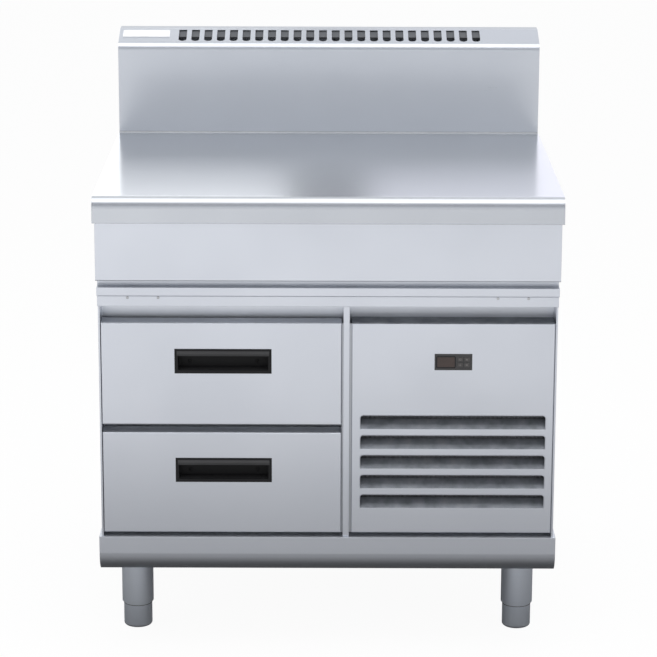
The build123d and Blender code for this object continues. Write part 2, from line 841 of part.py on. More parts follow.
for level, z_low in slide_low_edges.items():
    with BuildPart() as slide_middle:
        for wall_x, side in slide_walls:
            slide_channel(
                wall_x,
                side,
                middle_inset,
                slide_middle_flange,
                z_low + middle_inset,
                slide_height - 2 * middle_inset,
                True,
            )
    export(slide_middle.part, f"{level}_slide_middle_channels")

    with BuildPart() as slide_inner:
        for wall_x, side in slide_walls:
            slide_channel(
                wall_x,
                side,
                inner_inset,
                slide_pack_width - inner_inset,
                z_low + inner_inset,
                slide_height - 2 * inner_inset,
                False,
            )
    export(slide_inner.part, f"{level}_slide_inner_channels")

# Drawers: a steel front, its foam core, handle and gasket, and a tray between the slides
pan_back = cabinet_front + drawer_pan_depth
core_back = pan_back + drawer_cap_thickness
tray_left = cold_left + slide_pack_width
tray_right = cold_right - slide_pack_width
handle_left = drawer_left + handle_left_distance
handle_right = handle_left + handle_width
hole_inset = handle_frame_width
for level, drawer_low in drawer_lows.items():
    drawer_high = drawer_low + drawer_front_height
    handle_high = drawer_high - handle_top_distance
    handle_low = handle_high - handle_height
    handle_middle = ((handle_left + handle_right) / 2, (handle_low + handle_high) / 2)
    pocket_width = handle_width - 2 * hole_inset
    pocket_height = handle_height - 2 * hole_inset

    with BuildPart() as drawer_front:
        block((drawer_left, drawer_right), (cabinet_front, pan_back), (drawer_low, drawer_high))
        front_rim = drawer_front.edges().group_by(Axis.Y)[0]
        fillet(front_rim, front_edge_radius)
        offset(amount=-skin_sheet, openings=drawer_front.faces().sort_by(Axis.Y)[-1])
        with BuildSketch(facing_front(cabinet_front)) as handle_hole:
            with Locations(handle_middle):
                Rectangle(pocket_width, pocket_height)
        extrude(to_extrude=handle_hole.sketch, amount=-overrun, mode=Mode.SUBTRACT)
    export(drawer_front.part, f"{level}_drawer_front")

    with BuildPart() as drawer_core:
        block(
            (drawer_left + skin_sheet, drawer_right - skin_sheet),
            (cabinet_front + skin_sheet, core_back),
            (drawer_low + skin_sheet, drawer_high - skin_sheet),
        )
        core_front_rim = drawer_core.edges().group_by(Axis.Y)[0]
        fillet(core_front_rim, front_edge_radius - skin_sheet)
        block(
            (drawer_left, drawer_right),
            (pan_back, core_back),
            (drawer_low, drawer_high),
        )
        block(
            (handle_left + hole_inset, handle_right - hole_inset),
            (cabinet_front, cabinet_front + handle_pocket_depth + handle_clearance),
            (handle_low + hole_inset, handle_high - hole_inset),
            Mode.SUBTRACT,
        )
    export(drawer_core.part, f"{level}_drawer_core")

    with BuildPart() as handle:
        block(
            (handle_left, handle_right),
            (cabinet_front - handle_frame_proud, cabinet_front),
            (handle_low, handle_high),
        )
        frame_rim = handle.edges().group_by(Axis.Y)[0]
        fillet(frame_rim, handle_frame_proud / 2)
        body_inset = hole_inset + handle_clearance
        block(
            (handle_left + body_inset, handle_right - body_inset),
            (cabinet_front - handle_frame_proud, cabinet_front + handle_pocket_depth),
            (handle_low + body_inset, handle_high - body_inset),
        )
        grip_inset = body_inset + handle_lip_thickness
        grip_x = (handle_left + grip_inset, handle_right - grip_inset)
        lip_back = cabinet_front - handle_frame_proud + handle_lip_thickness
        pocket_back = cabinet_front + handle_pocket_depth - handle_lip_thickness
        block(
            grip_x,
            (cabinet_front - handle_frame_proud, pocket_back),
            (handle_low + grip_inset, handle_high - grip_inset - handle_lip_height),
            Mode.SUBTRACT,
        )
        block(
            grip_x,
            (lip_back, pocket_back),
            (handle_low + grip_inset, handle_high - grip_inset),
            Mode.SUBTRACT,
        )
    export(handle.part, f"{level}_drawer_handle")

    with BuildPart() as gasket:
        gasket_inner_width = cold_right - cold_left + 2 * gasket_edge_distance
        gasket_inner_height = drawer_front_height - 2 * opening_inset + 2 * gasket_edge_distance
        with BuildSketch(facing_front(frame_face - seat_clearance)) as gasket_section:
            with Locations(((cold_left + cold_right) / 2, drawer_low + drawer_front_height / 2)):
                Rectangle(gasket_inner_width + 2 * gasket_width, gasket_inner_height + 2 * gasket_width)
                Rectangle(gasket_inner_width, gasket_inner_height, mode=Mode.SUBTRACT)
        extrude(to_extrude=gasket_section.sketch, amount=frame_face - seat_clearance - core_back)
        closing_edges = gasket.edges().group_by(Axis.Y)[-1]
        fillet(closing_edges, gasket_edge_radius)
    export(gasket.part, f"{level}_drawer_gasket")

    with BuildPart() as tray:
        tray_low_z = drawer_low + opening_inset + tray_floor_rise
        tray_high_z = tray_low_z + tray_height
        tray_y = (core_back, slide_y[1] - tray_end_gap)
        block((tray_left, tray_right), tray_y, (tray_low_z, tray_high_z))
        upright_edges = tray.edges().filter_by(Axis.Z).group_by(Axis.Y)[-1]
        fillet(upright_edges, tray_corner_radius)
        offset(amount=-tray_sheet, openings=tray.faces().sort_by(Axis.Z)[-1])
        rim_z = (tray_high_z - tray_sheet, tray_high_z)
        rim_y = (frame_back + slide_front_distance, tray_y[1] - tray_corner_radius)
        block((tray_left - tray_rim_width, tray_left + tray_sheet), rim_y, rim_z)
        block((tray_right - tray_sheet, tray_right + tray_rim_width), rim_y, rim_z)
    export(tray.part, f"{level}_drawer_tray")

# Service panel: a folded pan with five louvres pressed inwards and a cut-out for the controller
controller_left = service_left + controller_left_distance
controller_right = controller_left + controller_bezel_width
controller_high = fronts_high - controller_top_distance
controller_low = controller_high - controller_bezel_height
controller_middle = ((controller_left + controller_right) / 2, (controller_low + controller_high) / 2)
louvre_left = service_left + louvre_left_distance
louvre_lows = [fronts_low + louvre_lowest_rise + louvre_pitch * index for index in range(louvre_count)]
with BuildPart() as service_panel:
    block((service_left, service_right), (cabinet_front, frame_face), (fronts_low, fronts_high))
    panel_rim = service_panel.edges().group_by(Axis.Y)[0]
    fillet(panel_rim, front_edge_radius)
    offset(amount=-skin_sheet, openings=service_panel.faces().sort_by(Axis.Y)[-1])
    for louvre_low in louvre_lows:
        with BuildSketch(facing_front(cabinet_front)) as louvre_opening:
            with Locations((louvre_left, louvre_low)):
                Rectangle(louvre_width, louvre_height, align=(Align.MIN, Align.MIN))
            upper_corners = louvre_opening.vertices().group_by(Axis.Y)[-1]
            fillet(upper_corners, louvre_corner_radius)
        extrude(to_extrude=louvre_opening.sketch, amount=-overrun, mode=Mode.SUBTRACT)
    for louvre_low in louvre_lows:
        blade_back = cabinet_front + louvre_blade_depth
        blade_high = louvre_low + louvre_blade_rise
        with BuildSketch(facing_right(louvre_left)) as blade_section:
            with BuildLine():
                Polyline(
                    (cabinet_front, louvre_low),
                    (blade_back, blade_high),
                    (blade_back, blade_high - louvre_blade_thickness),
                    (cabinet_front, louvre_low - louvre_blade_thickness),
                    close=True,
                )
            make_face()
        extrude(to_extrude=blade_section.sketch, amount=louvre_width)
    with BuildSketch(facing_front(cabinet_front)) as controller_cut_out:
        with Locations(controller_middle):
            Rectangle(
                controller_body_width + 2 * controller_clearance,
                controller_body_height + 2 * controller_clearance,
            )
    extrude(to_extrude=controller_cut_out.sketch, amount=-overrun, mode=Mode.SUBTRACT)
service_panel.part.label = "service_panel"
export_step(service_panel.part, "parts/service_panel.step")

# Controller: a housing through the panel, with a display window and four keys
bezel_front = cabinet_front - controller_bezel_proud
window_left = controller_left + window_left_distance
window_span = (window_left, window_left + window_width)
window_z = (controller_middle[1] - window_height / 2, controller_middle[1] + window_height / 2)
key_block_x = controller_right - key_block_right_distance
key_places = {
    "set_key": (key_block_x - key_pitch_x / 2, controller_middle[1] + key_pitch_z / 2),
    "up_key": (key_block_x + key_pitch_x / 2, controller_middle[1] + key_pitch_z / 2),
    "defrost_key": (key_block_x - key_pitch_x / 2, controller_middle[1] - key_pitch_z / 2),
    "down_key": (key_block_x + key_pitch_x / 2, controller_middle[1] - key_pitch_z / 2),
}
with BuildPart() as controller:
    bezel_x = (controller_left, controller_right)
    block(bezel_x, (bezel_front, cabinet_front), (controller_low, controller_high))
    bezel_rim = controller.edges().group_by(Axis.Y)[0]
    fillet(bezel_rim, controller_edge_radius)
    with BuildSketch(facing_front(cabinet_front)) as controller_body:
        with Locations(controller_middle):
            Rectangle(controller_body_width, controller_body_height)
    extrude(to_extrude=controller_body.sketch, amount=-controller_body_depth)
    block(window_span, (bezel_front - overrun, bezel_front + window_recess), window_z, Mode.SUBTRACT)
    with BuildSketch(facing_front(bezel_front)) as key_holes:
        for key_x, key_z in key_places.values():
            with Locations((key_x, key_z)):
                Rectangle(key_width + 2 * key_clearance, key_height + 2 * key_clearance)
    extrude(to_extrude=key_holes.sketch, amount=-key_pocket_depth, mode=Mode.SUBTRACT)
controller.part.label = "controller_housing"
export_step(controller.part, "parts/controller_housing.step")

with BuildPart() as window:
    window_back = bezel_front + window_recess
    block(window_span, (window_back - window_thickness, window_back), window_z)
window.part.label = "controller_window"
export_step(window.part, "parts/controller_window.step")

for key_name, (key_x, key_z) in key_places.items():
    with BuildPart() as key:
        block(
            (key_x - key_width / 2, key_x + key_width / 2),
            (bezel_front - key_proud, bezel_front - key_proud + key_length),
            (key_z - key_height / 2, key_z + key_height / 2),
        )
        key_rim = key.edges().group_by(Axis.Y)[0]
        fillet(key_rim, key_proud / 2)
    export(key.part, key_name)


def finned_block(x_span, y_span, z_span, fin_count, columns, rows, tube_radius):
    """Adds end plates, fins and the straight tubes through them to the open part."""
    end_plate = end_plate_thickness
    block((x_span[0], x_span[0] + end_plate), y_span, z_span)
    block((x_span[1] - end_plate, x_span[1]), y_span, z_span)
    fin_step = (x_span[1] - x_span[0]) / (fin_count + 1)
    for index in range(fin_count):
        fin_x = x_span[0] + fin_step * (index + 1)
        block((fin_x - fin_thickness / 2, fin_x + fin_thickness / 2), y_span, z_span)
    column_step = (y_span[1] - y_span[0]) / columns
    row_step = (z_span[1] - z_span[0]) / rows
    with BuildSketch(facing_right(x_span[0])) as tube_ends:
        for column in range(columns):
            for row in range(rows):
                tube_y = y_span[0] + column_step * (column + 1 / 2)
                tube_z = z_span[0] + row_step * (row + 1 / 2)
                with Locations((tube_y, tube_z)):
                    Circle(tube_radius)
    extrude(to_extrude=tube_ends.sketch, amount=x_span[1] - x_span[0])


def bladed_fan(centre, thickness, hub_radius, tip_radius, bore_radius, blade_count):
    """Adds a hub with a bore and pitched blades to the open part, on an axis along Y."""
    hub_plane = Plane(origin=centre, x_dir=(1, 0, 0), z_dir=(0, 1, 0))
    with BuildSketch(hub_plane) as hub_section:
        Circle(hub_radius)
    extrude(to_extrude=hub_section.sketch, amount=thickness)
    blade_middle = (centre[0], centre[1] + thickness / 2, centre[2])
    fan_axis = Vector(0, 1, 0)
    blade_root = hub_radius * blade_root_share
    root_half = hub_radius * blade_root_width_share
    blade_tip = tip_radius * blade_tip_share
    tip_half = tip_radius * blade_tip_width_share
    for index in range(blade_count):
        outward = Vector(1, 0, 0).rotate(Axis.Y, 360 / blade_count * index)
        pitched = fan_axis.rotate(Axis((0, 0, 0), outward), blade_pitch_angle)
        blade_plane = Plane(origin=blade_middle, x_dir=outward, z_dir=pitched)
        with BuildSketch(blade_plane.offset(-blade_thickness / 2)) as blade_section:
            with BuildLine():
                Polyline(
                    (blade_root, -root_half),
                    (blade_tip, -tip_half),
                    (blade_tip, tip_half),
                    (blade_root, root_half),
                    close=True,
                )
            make_face()
        extrude(to_extrude=blade_section.sketch, amount=blade_thickness)
    with BuildSketch(hub_plane) as bore_section:
        Circle(bore_radius)
    extrude(to_extrude=bore_section.sketch, amount=thickness, mode=Mode.SUBTRACT)


def motor_with_arms(centre, radius, length, seat_y, seat_radius, arm_width, arm_thickness):
    """Adds a fan motor whose four arms reach out and then forward to a plate at seat_y."""
    motor_plane = Plane(origin=centre, x_dir=(1, 0, 0), z_dir=(0, 1, 0))
    with BuildSketch(motor_plane) as can_section:
        Circle(radius)
    extrude(to_extrude=can_section.sketch, amount=length)
    arm_reach = seat_radius + arm_thickness
    arm_y = (centre[1], centre[1] + arm_thickness)
    foot_y = (seat_y, centre[1] + arm_thickness)
    across_x = (centre[0] - arm_width / 2, centre[0] + arm_width / 2)
    across_z = (centre[2] - arm_width / 2, centre[2] + arm_width / 2)
    for side in (1, -1):
        end_x = centre[0] + side * arm_reach
        end_z = centre[2] + side * arm_reach
        block((centre[0], end_x), arm_y, across_z)
        block((centre[0] + side * seat_radius, end_x), foot_y, across_z)
        block(across_x, arm_y, (centre[2], end_z))
        block(across_x, foot_y, (centre[2] + side * seat_radius, end_z))


# Evaporator: coil on the back of the liner, fan and motor behind a slotted cover, drip tray below
cover_back = cover_front + panel_sheet
coil_left = cold_left + evaporator_coil_side_gap
coil_right = cold_right - evaporator_coil_side_gap
coil_high = cold_high - evaporator_coil_drop
coil_low = coil_high - evaporator_coil_height
coil_front = cold_back - evaporator_coil_depth
evaporator_fan_x = (cold_left + cold_right) / 2
evaporator_fan_z = (coil_low + coil_high) / 2
evaporator_fan_front = cover_back + evaporator_fan_gap
evaporator_fan_centre = (evaporator_fan_x, evaporator_fan_front, evaporator_fan_z)
evaporator_motor_front = evaporator_fan_front + evaporator_fan_thickness + evaporator_motor_gap
cover_slot_length = cold_right - cold_left - 2 * cover_slot_end_distance
cover_slots_high = evaporator_fan_z - evaporator_fan_ring
cover_slot_pitch = (cover_slots_high - cold_low) / (cover_slot_count + 1)

with BuildPart() as evaporator_cover:
    block((cold_left, cold_right), (cover_front, cover_back), (cold_low, cold_high))
    with BuildSketch(facing_front(cover_front)) as cover_cuts:
        with Locations((evaporator_fan_x, evaporator_fan_z)):
            Circle(evaporator_fan_ring)
        with Locations((evaporator_fan_x, (cold_low + cover_slots_high) / 2)):
            with GridLocations(0, cover_slot_pitch, 1, cover_slot_count):
                SlotOverall(cover_slot_length, cover_slot_width)
    extrude(to_extrude=cover_cuts.sketch, amount=-overrun, mode=Mode.SUBTRACT)
evaporator_cover.part.label = "evaporator_cover"
export_step(evaporator_cover.part, "parts/evaporator_cover.step")

with BuildPart() as evaporator_coil:
    finned_block(
        (coil_left, coil_right),
        (coil_front, cold_back),
        (coil_low, coil_high),
        evaporator_fin_count,
        evaporator_tube_columns,
        evaporator_tube_rows,
        evaporator_tube_radius,
    )
evaporator_coil.part.label = "evaporator_coil"
export_step(evaporator_coil.part, "parts/evaporator_coil.step")

with BuildPart() as evaporator_fan:
    bladed_fan(
        evaporator_fan_centre,
        evaporator_fan_thickness,
        evaporator_fan_hub_radius,
        evaporator_fan_radius,
        motor_shaft_radius + shaft_clearance,
        fan_blade_count,
    )
evaporator_fan.part.label = "evaporator_fan"
export_step(evaporator_fan.part, "parts/evaporator_fan.step")

with BuildPart() as evaporator_motor:
    motor_with_arms(
        (evaporator_fan_x, evaporator_motor_front, evaporator_fan_z),
        evaporator_motor_radius,
        evaporator_motor_length,
        cover_back,
        evaporator_fan_ring,
        evaporator_arm_width,
        fan_arm_thickness,
    )
    round_bar(
        motor_shaft_radius,
        evaporator_fan_centre,
        evaporator_motor_front - evaporator_fan_front,
        (0, 1, 0),
    )
evaporator_motor.part.label = "evaporator_motor"
export_step(evaporator_motor.part, "parts/evaporator_motor.step")

with BuildPart() as drip_tray:
    block(
        (coil_left - drip_tray_overhang, coil_right + drip_tray_overhang),
        (coil_front - drip_tray_overhang, cold_back),
        (coil_low - drip_tray_height, coil_low),
    )
    offset(amount=-liner_sheet, openings=drip_tray.faces().sort_by(Axis.Z)[-1])
drip_tray.part.label = "drip_tray"
export_step(drip_tray.part, "parts/drip_tray.step")

# Condensing unit: a tray on the plinth's floor with the condenser, its fan and the compressor
unit_left = post_right + unit_tray_side_gap
unit_right = skin_inner - unit_tray_side_gap
unit_front = frame_face + unit_tray_front_gap
unit_back = rear_inner - unit_tray_back_gap
unit_floor = plinth_floor + panel_sheet
with BuildPart() as unit_tray:
    block((unit_left, unit_right), (unit_front, unit_back), (plinth_floor, plinth_floor + unit_tray_height))
    offset(amount=-panel_sheet, openings=unit_tray.faces().sort_by(Axis.Z)[-1])
unit_tray.part.label = "unit_tray"
export_step(unit_tray.part, "parts/unit_tray.step")

condenser_left = post_right + condenser_side_gap
condenser_right = skin_inner - condenser_side_gap
condenser_front = frame_face + condenser_front_gap
condenser_back = condenser_front + condenser_depth
condenser_high = unit_floor + condenser_height
with BuildPart() as condenser:
    finned_block(
        (condenser_left, condenser_right),
        (condenser_front, condenser_back),
        (unit_floor, condenser_high),
        condenser_fin_count,
        condenser_tube_columns,
        condenser_tube_rows,
        condenser_tube_radius,
    )
condenser.part.label = "condenser_coil"
export_step(condenser.part, "parts/condenser_coil.step")

shroud_back = condenser_back + shroud_depth
fan_x = (condenser_left + condenser_right) / 2
fan_z = (unit_floor + condenser_high) / 2
fan_front = shroud_back - fan_thickness / 2
fan_centre = (fan_x, fan_front, fan_z)
motor_front = fan_front + fan_thickness + fan_motor_gap
with BuildPart() as shroud:
    block((condenser_left, condenser_right), (condenser_back, shroud_back), (unit_floor, condenser_high))
    offset(amount=-panel_sheet, openings=shroud.faces().sort_by(Axis.Y)[0])
    with BuildSketch(facing_front(shroud_back)) as ring_section:
        with Locations((fan_x, fan_z)):
            Circle(fan_ring_radius + panel_sheet)
    extrude(to_extrude=ring_section.sketch, amount=-fan_thickness / 2)
    with BuildSketch(facing_front(shroud_back + fan_thickness / 2 + overrun)) as ring_hole:
        with Locations((fan_x, fan_z)):
            Circle(fan_ring_radius)
    extrude(
        to_extrude=ring_hole.sketch,
        amount=fan_thickness / 2 + panel_sheet + 2 * overrun,
        mode=Mode.SUBTRACT,
    )
shroud.part.label = "condenser_shroud"
export_step(shroud.part, "parts/condenser_shroud.step")

with BuildPart() as condenser_fan:
    bladed_fan(
        fan_centre,
        fan_thickness,
        fan_hub_radius,
        fan_radius,
        motor_shaft_radius + shaft_clearance,
        fan_blade_count,
    )
condenser_fan.part.label = "condenser_fan"
export_step(condenser_fan.part, "parts/condenser_fan.step")

with BuildPart() as condenser_motor:
    motor_with_arms(
        (fan_x, motor_front, fan_z),
        fan_motor_radius,
        fan_motor_length,
        shroud_back,
        fan_ring_radius + fan_arm_thickness,
        fan_arm_width,
        fan_arm_thickness,
    )
    round_bar(motor_shaft_radius, fan_centre, motor_front - fan_front, (0, 1, 0))
condenser_motor.part.label = "condenser_fan_motor"
export_step(condenser_motor.part, "parts/condenser_fan_motor.step")

compressor_x = fan_x
compressor_y = frame_face + compressor_y_distance
body_low = unit_floor + compressor_foot_height
suction_port_z = body_low + suction_port_height
discharge_port_z = body_low + discharge_port_height
port_reach = compressor_radius + compressor_port_length
with BuildPart() as compressor:
    with BuildSketch(Plane.XY.offset(body_low)):
        with Locations((compressor_x, compressor_y)):
            Circle(compressor_radius)
    extrude(amount=compressor_body_height)
    fillet(compressor.edges().sort_by(Axis.Z)[-1], compressor_dome_radius)
    offset(amount=-compressor_shell, openings=compressor.faces().sort_by(Axis.Z)[0])
    foot_x = (compressor_x - compressor_foot_length / 2, compressor_x + compressor_foot_length / 2)
    foot_y = (compressor_y - compressor_foot_width / 2, compressor_y + compressor_foot_width / 2)
    block(foot_x, foot_y, (body_low - compressor_foot_sheet, body_low))
    for foot_end, inward in ((foot_x[0], 1), (foot_x[1], -1)):
        block((foot_end, foot_end + inward * compressor_foot_sheet), foot_y, (unit_floor, body_low))
    round_bar(
        compressor_port_radius,
        (compressor_x - port_reach, compressor_y, suction_port_z),
        port_reach - compressor_radius + compressor_shell / 2,
        (1, 0, 0),
    )
    round_bar(
        compressor_port_radius,
        (compressor_x + port_reach, compressor_y, discharge_port_z),
        port_reach - compressor_radius + compressor_shell / 2,
        (-1, 0, 0),
    )
    terminal_low = body_low + terminal_box_rise
    block(
        (compressor_x - terminal_box_width / 2, compressor_x + terminal_box_width / 2),
        (
            compressor_y - compressor_radius - terminal_box_proud,
            compressor_y - compressor_radius + compressor_shell / 2,
        ),
        (terminal_low, terminal_low + terminal_box_height),
    )
compressor.part.label = "compressor"
export_step(compressor.part, "parts/compressor.step")

with BuildPart() as electrical_box:
    block(
        (electrical_left, electrical_right),
        (rear_inner - electrical_box_depth, rear_inner),
        (electrical_low, electrical_high),
    )
    fillet(electrical_box.edges().filter_by(Axis.Y), electrical_box_radius)
    gland_length = cabinet_back + gland_nut_height - rear_inner
    round_bar(gland_radius, (gland_x, rear_inner, gland_z), gland_length, (0, 1, 0))
    round_bar(gland_nut_radius, (gland_x, cabinet_back, gland_z), gland_nut_height, (0, 1, 0))
electrical_box.part.label = "electrical_box"
export_step(electrical_box.part, "parts/electrical_box.step")

# Refrigerant pipes: suction, liquid and discharge lines, each bent from one tube
suction_riser_x = post_right + suction_riser_distance
liquid_riser_x = post_right + liquid_riser_distance
discharge_run_x = condenser_right + discharge_end_distance
condenser_middle_y = (condenser_front + condenser_back) / 2
liquid_run_z = unit_floor + liquid_pipe_rise
pipe_routes = (
    (
        suction_pipe_radius,
        (
            (coil_right, pipe_y, suction_pipe_z),
            (suction_riser_x, pipe_y, suction_pipe_z),
            (suction_riser_x, pipe_y, suction_port_z),
            (suction_riser_x, compressor_y, suction_port_z),
            (compressor_x - port_reach, compressor_y, suction_port_z),
        ),
    ),
    (
        liquid_pipe_radius,
        (
            (coil_right, pipe_y, liquid_pipe_z),
            (liquid_riser_x, pipe_y, liquid_pipe_z),
            (liquid_riser_x, pipe_y, liquid_run_z),
            (liquid_riser_x, condenser_middle_y, liquid_run_z),
            (condenser_left, condenser_middle_y, liquid_run_z),
        ),
    ),
    (
        liquid_pipe_radius,
        (
            (compressor_x + port_reach, compressor_y, discharge_port_z),
            (discharge_run_x, compressor_y, discharge_port_z),
            (discharge_run_x, condenser_middle_y, discharge_port_z),
            (condenser_right, condenser_middle_y, discharge_port_z),
        ),
    ),
)
with BuildPart() as refrigerant_pipes:
    for pipe_radius, route in pipe_routes:
        with BuildLine() as pipe_path:
            FilletPolyline(*route, radius=pipe_bend_radius)
        with BuildSketch(Plane(origin=pipe_path.line @ 0, z_dir=pipe_path.line % 0)) as pipe_section:
            Circle(pipe_radius)
        sweep(sections=pipe_section.sketch, path=pipe_path.line)
refrigerant_pipes.part.label = "refrigerant_pipes"
export_step(refrigerant_pipes.part, "parts/refrigerant_pipes.step")
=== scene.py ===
# %% [markdown]
# # Dressing a refrigerated base
# The real object is a stainless steel catering unit: a worktop with a splashback on a cold cabinet with
# two drawers and a machine compartment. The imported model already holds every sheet, drawer and leg at its
# true size, so the lesson starts by loading it. What is left for Blender is the look: brushed metal, black
# plastic, and the small fittings that a size drawing leaves out.

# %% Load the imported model
import json
import math

import bmesh
import bpy
from mathutils import Matrix, Vector


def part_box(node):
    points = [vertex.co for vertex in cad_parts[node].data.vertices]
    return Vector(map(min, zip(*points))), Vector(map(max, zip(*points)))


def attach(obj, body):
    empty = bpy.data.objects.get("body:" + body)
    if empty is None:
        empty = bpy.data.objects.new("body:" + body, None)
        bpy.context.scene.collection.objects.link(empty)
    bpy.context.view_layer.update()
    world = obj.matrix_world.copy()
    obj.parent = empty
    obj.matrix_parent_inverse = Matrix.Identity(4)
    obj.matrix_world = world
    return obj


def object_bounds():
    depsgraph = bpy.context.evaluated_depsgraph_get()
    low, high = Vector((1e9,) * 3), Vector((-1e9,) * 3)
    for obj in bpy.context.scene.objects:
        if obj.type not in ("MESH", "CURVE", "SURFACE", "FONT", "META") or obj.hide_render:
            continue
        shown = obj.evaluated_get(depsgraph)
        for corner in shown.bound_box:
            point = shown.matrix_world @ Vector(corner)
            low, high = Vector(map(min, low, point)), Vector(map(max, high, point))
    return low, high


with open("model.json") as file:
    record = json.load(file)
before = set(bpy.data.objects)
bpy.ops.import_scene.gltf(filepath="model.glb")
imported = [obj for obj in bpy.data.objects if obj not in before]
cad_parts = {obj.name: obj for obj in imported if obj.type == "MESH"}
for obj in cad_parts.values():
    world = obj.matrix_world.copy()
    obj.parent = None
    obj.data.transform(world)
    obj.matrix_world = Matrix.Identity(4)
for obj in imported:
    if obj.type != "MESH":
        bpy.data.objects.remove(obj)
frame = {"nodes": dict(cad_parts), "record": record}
nodes = frame["nodes"]
scene = bpy.context.scene
cad_low, cad_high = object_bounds()
print("width, depth and height:", [round(size, 4) for size in cad_high - cad_low])

# %% [markdown]
# ## The camera
# The photograph shows the front, from a little above, with hardly any perspective. A camera could be set by
# eye, but the edges of the object were measured in the picture and a camera was fitted to them, so its
# distance, height, tilt and focal length are known. The picture leans by a sixth of a degree, which is a
# small turn about the camera's own axis.

# %% Place the camera
picture_pixels = 657
focal_pixels = 2695.0
sensor_width = 36.0
camera_place = Vector((0.001, -5.4145, 1.937))
camera_tilt = math.radians(14.29)
camera_lean = math.radians(0.17)

camera_data = bpy.data.cameras.new("camera")
camera_data.sensor_width = sensor_width
camera_data.lens = focal_pixels * sensor_width / picture_pixels
camera = bpy.data.objects.new("camera", camera_data)
scene.collection.objects.link(camera)
camera.matrix_world = (
    Matrix.Translation(camera_place)
    @ Matrix.Rotation(math.pi / 2 - camera_tilt, 4, "X")
    @ Matrix.Rotation(camera_lean, 4, "Z")
)
scene.camera = camera
print("lens", round(camera_data.lens, 1), "mm at", [round(value, 3) for value in camera_place])

# %% [markdown]
# ## The studio
# Bare steel has almost no colour of its own: it shows the room. A photographer lights it with large soft
# panels and blocks what should stay dark with flags, and the same is done here. The room is built from
# nodes, so three helpers come first. One starts a material, one adds a node together with its values, and
# one joins nodes from a list, which lets the list be read like a wiring plan.

# %% Start a material, add a node and join nodes
scene.view_settings.view_transform = "Standard"


def start_material(name):
    """Makes a material with no nodes but its output, and returns it with its node tree."""
    material = bpy.data.materials.new(name)
    material.use_nodes = True
    tree = material.node_tree
    tree.nodes.clear()
    return material, tree, tree.nodes.new("ShaderNodeOutputMaterial")


def add_node(tree, kind, values=None, **settings):
    """Adds a shader node, gives it its settings, fills the sockets that values names, and returns it."""
    node = tree.nodes.new("ShaderNode" + kind)
    for name, setting in settings.items():
        setattr(node, name, setting)
    for socket, value in (values or {}).items():
        node.inputs[socket].default_value = value
    return node


def join(tree, *links):
    """Joins nodes. Each link is (node, output, node, input)."""
    for source, output, target, socket in links:
        tree.links.new(source.outputs[output], target.inputs[socket])


# %% [markdown]
# ### The white background
# The picture's background is plain white. The Light Path node says what kind of ray has left the scene: the
# camera, mirror reflections and rays through glass find white at strength 1, and only the soft light that
# fills the shadows is greyer, so the white doesn't wash the object out.

# %% The white background
background_white = (1.0, 1.0, 1.0, 1.0)
room_grey = (0.62, 0.625, 0.635, 1.0)

world = bpy.data.worlds.new("white_room")
scene.world = world
world.use_nodes = True
room = world.node_tree
room.nodes.clear()
room_out = add_node(room, "OutputWorld")
seen_white = add_node(room, "Background", {"Color": background_white})
soft_fill = add_node(room, "Background", {"Color": room_grey})
room_rays = add_node(room, "LightPath")
seen_directly = add_node(room, "Math", operation="MAXIMUM")
seen_by_eye = add_node(room, "Math", operation="MAXIMUM")
room_choice = add_node(room, "MixShader")
join(
    room,
    (room_rays, "Is Camera Ray", seen_directly, 0),
    (room_rays, "Is Glossy Ray", seen_directly, 1),
    (seen_directly, 0, seen_by_eye, 0),
    (room_rays, "Is Transmission Ray", seen_by_eye, 1),
    (seen_by_eye, 0, room_choice, "Fac"),
    (soft_fill, 0, room_choice, 1),
    (seen_white, 0, room_choice, 2),
    (room_choice, 0, room_out, "Surface"),
)
print("white room with", len(room.nodes), "nodes")

# %% [markdown]
# ### The floor
# The floor does two jobs. To the camera it is a white sweep that keeps a faint shadow. To the steel it is
# the lower half of the room, and there the object darkens its own surroundings: the nearer a point of the
# floor is to the object, the less light reaches it. A ramp over the distance from the footprint gives that
# fall, which makes the lower drawer darker than the upper one. The distance counts less to the sides, and
# the left of the floor glows a little more than the right, as in the picture.


# %% A flat card
def flat_card(name, corners, material):
    """Makes one card from its corners."""
    mesh = bpy.data.meshes.new(name)
    mesh.from_pydata([tuple(corner) for corner in corners], [], [tuple(range(len(corners)))])
    mesh.materials.append(material)
    card = bpy.data.objects.new(name, mesh)
    scene.collection.objects.link(card)
    return card


# %% How the floor's glow changes
floor_reach = 30.0
floor_colour = (0.9, 0.9, 0.9, 1.0)
floor_glow_share = 0.95
footprint_half = (cad_high.x, cad_high.y, 0.0)
side_share = (0.3, 1.0, 1.0)
lean_reach = 1.2
lean_left = 1.11
lean_right = 0.91
glow_blueness = 1.01
fall_distance = 8.0
fall_stops = (
    (0.0, 0.075),
    (0.06, 0.14),
    (0.15, 0.24),
    (0.3, 0.29),
    (0.76, 0.3),
    (1.0, 0.46),
    (1.3, 0.7),
    (1.54, 0.88),
    (2.2, 1.02),
    (3.0, 0.84),
    (3.7, 0.78),
    (4.4, 1.52),
    (5.2, 1.52),
    (6.2, 1.0),
    (8.0, 0.78),
)
print("glow from", fall_stops[0][1], "at the footprint to", fall_stops[-1][1], "at", fall_distance, "m")


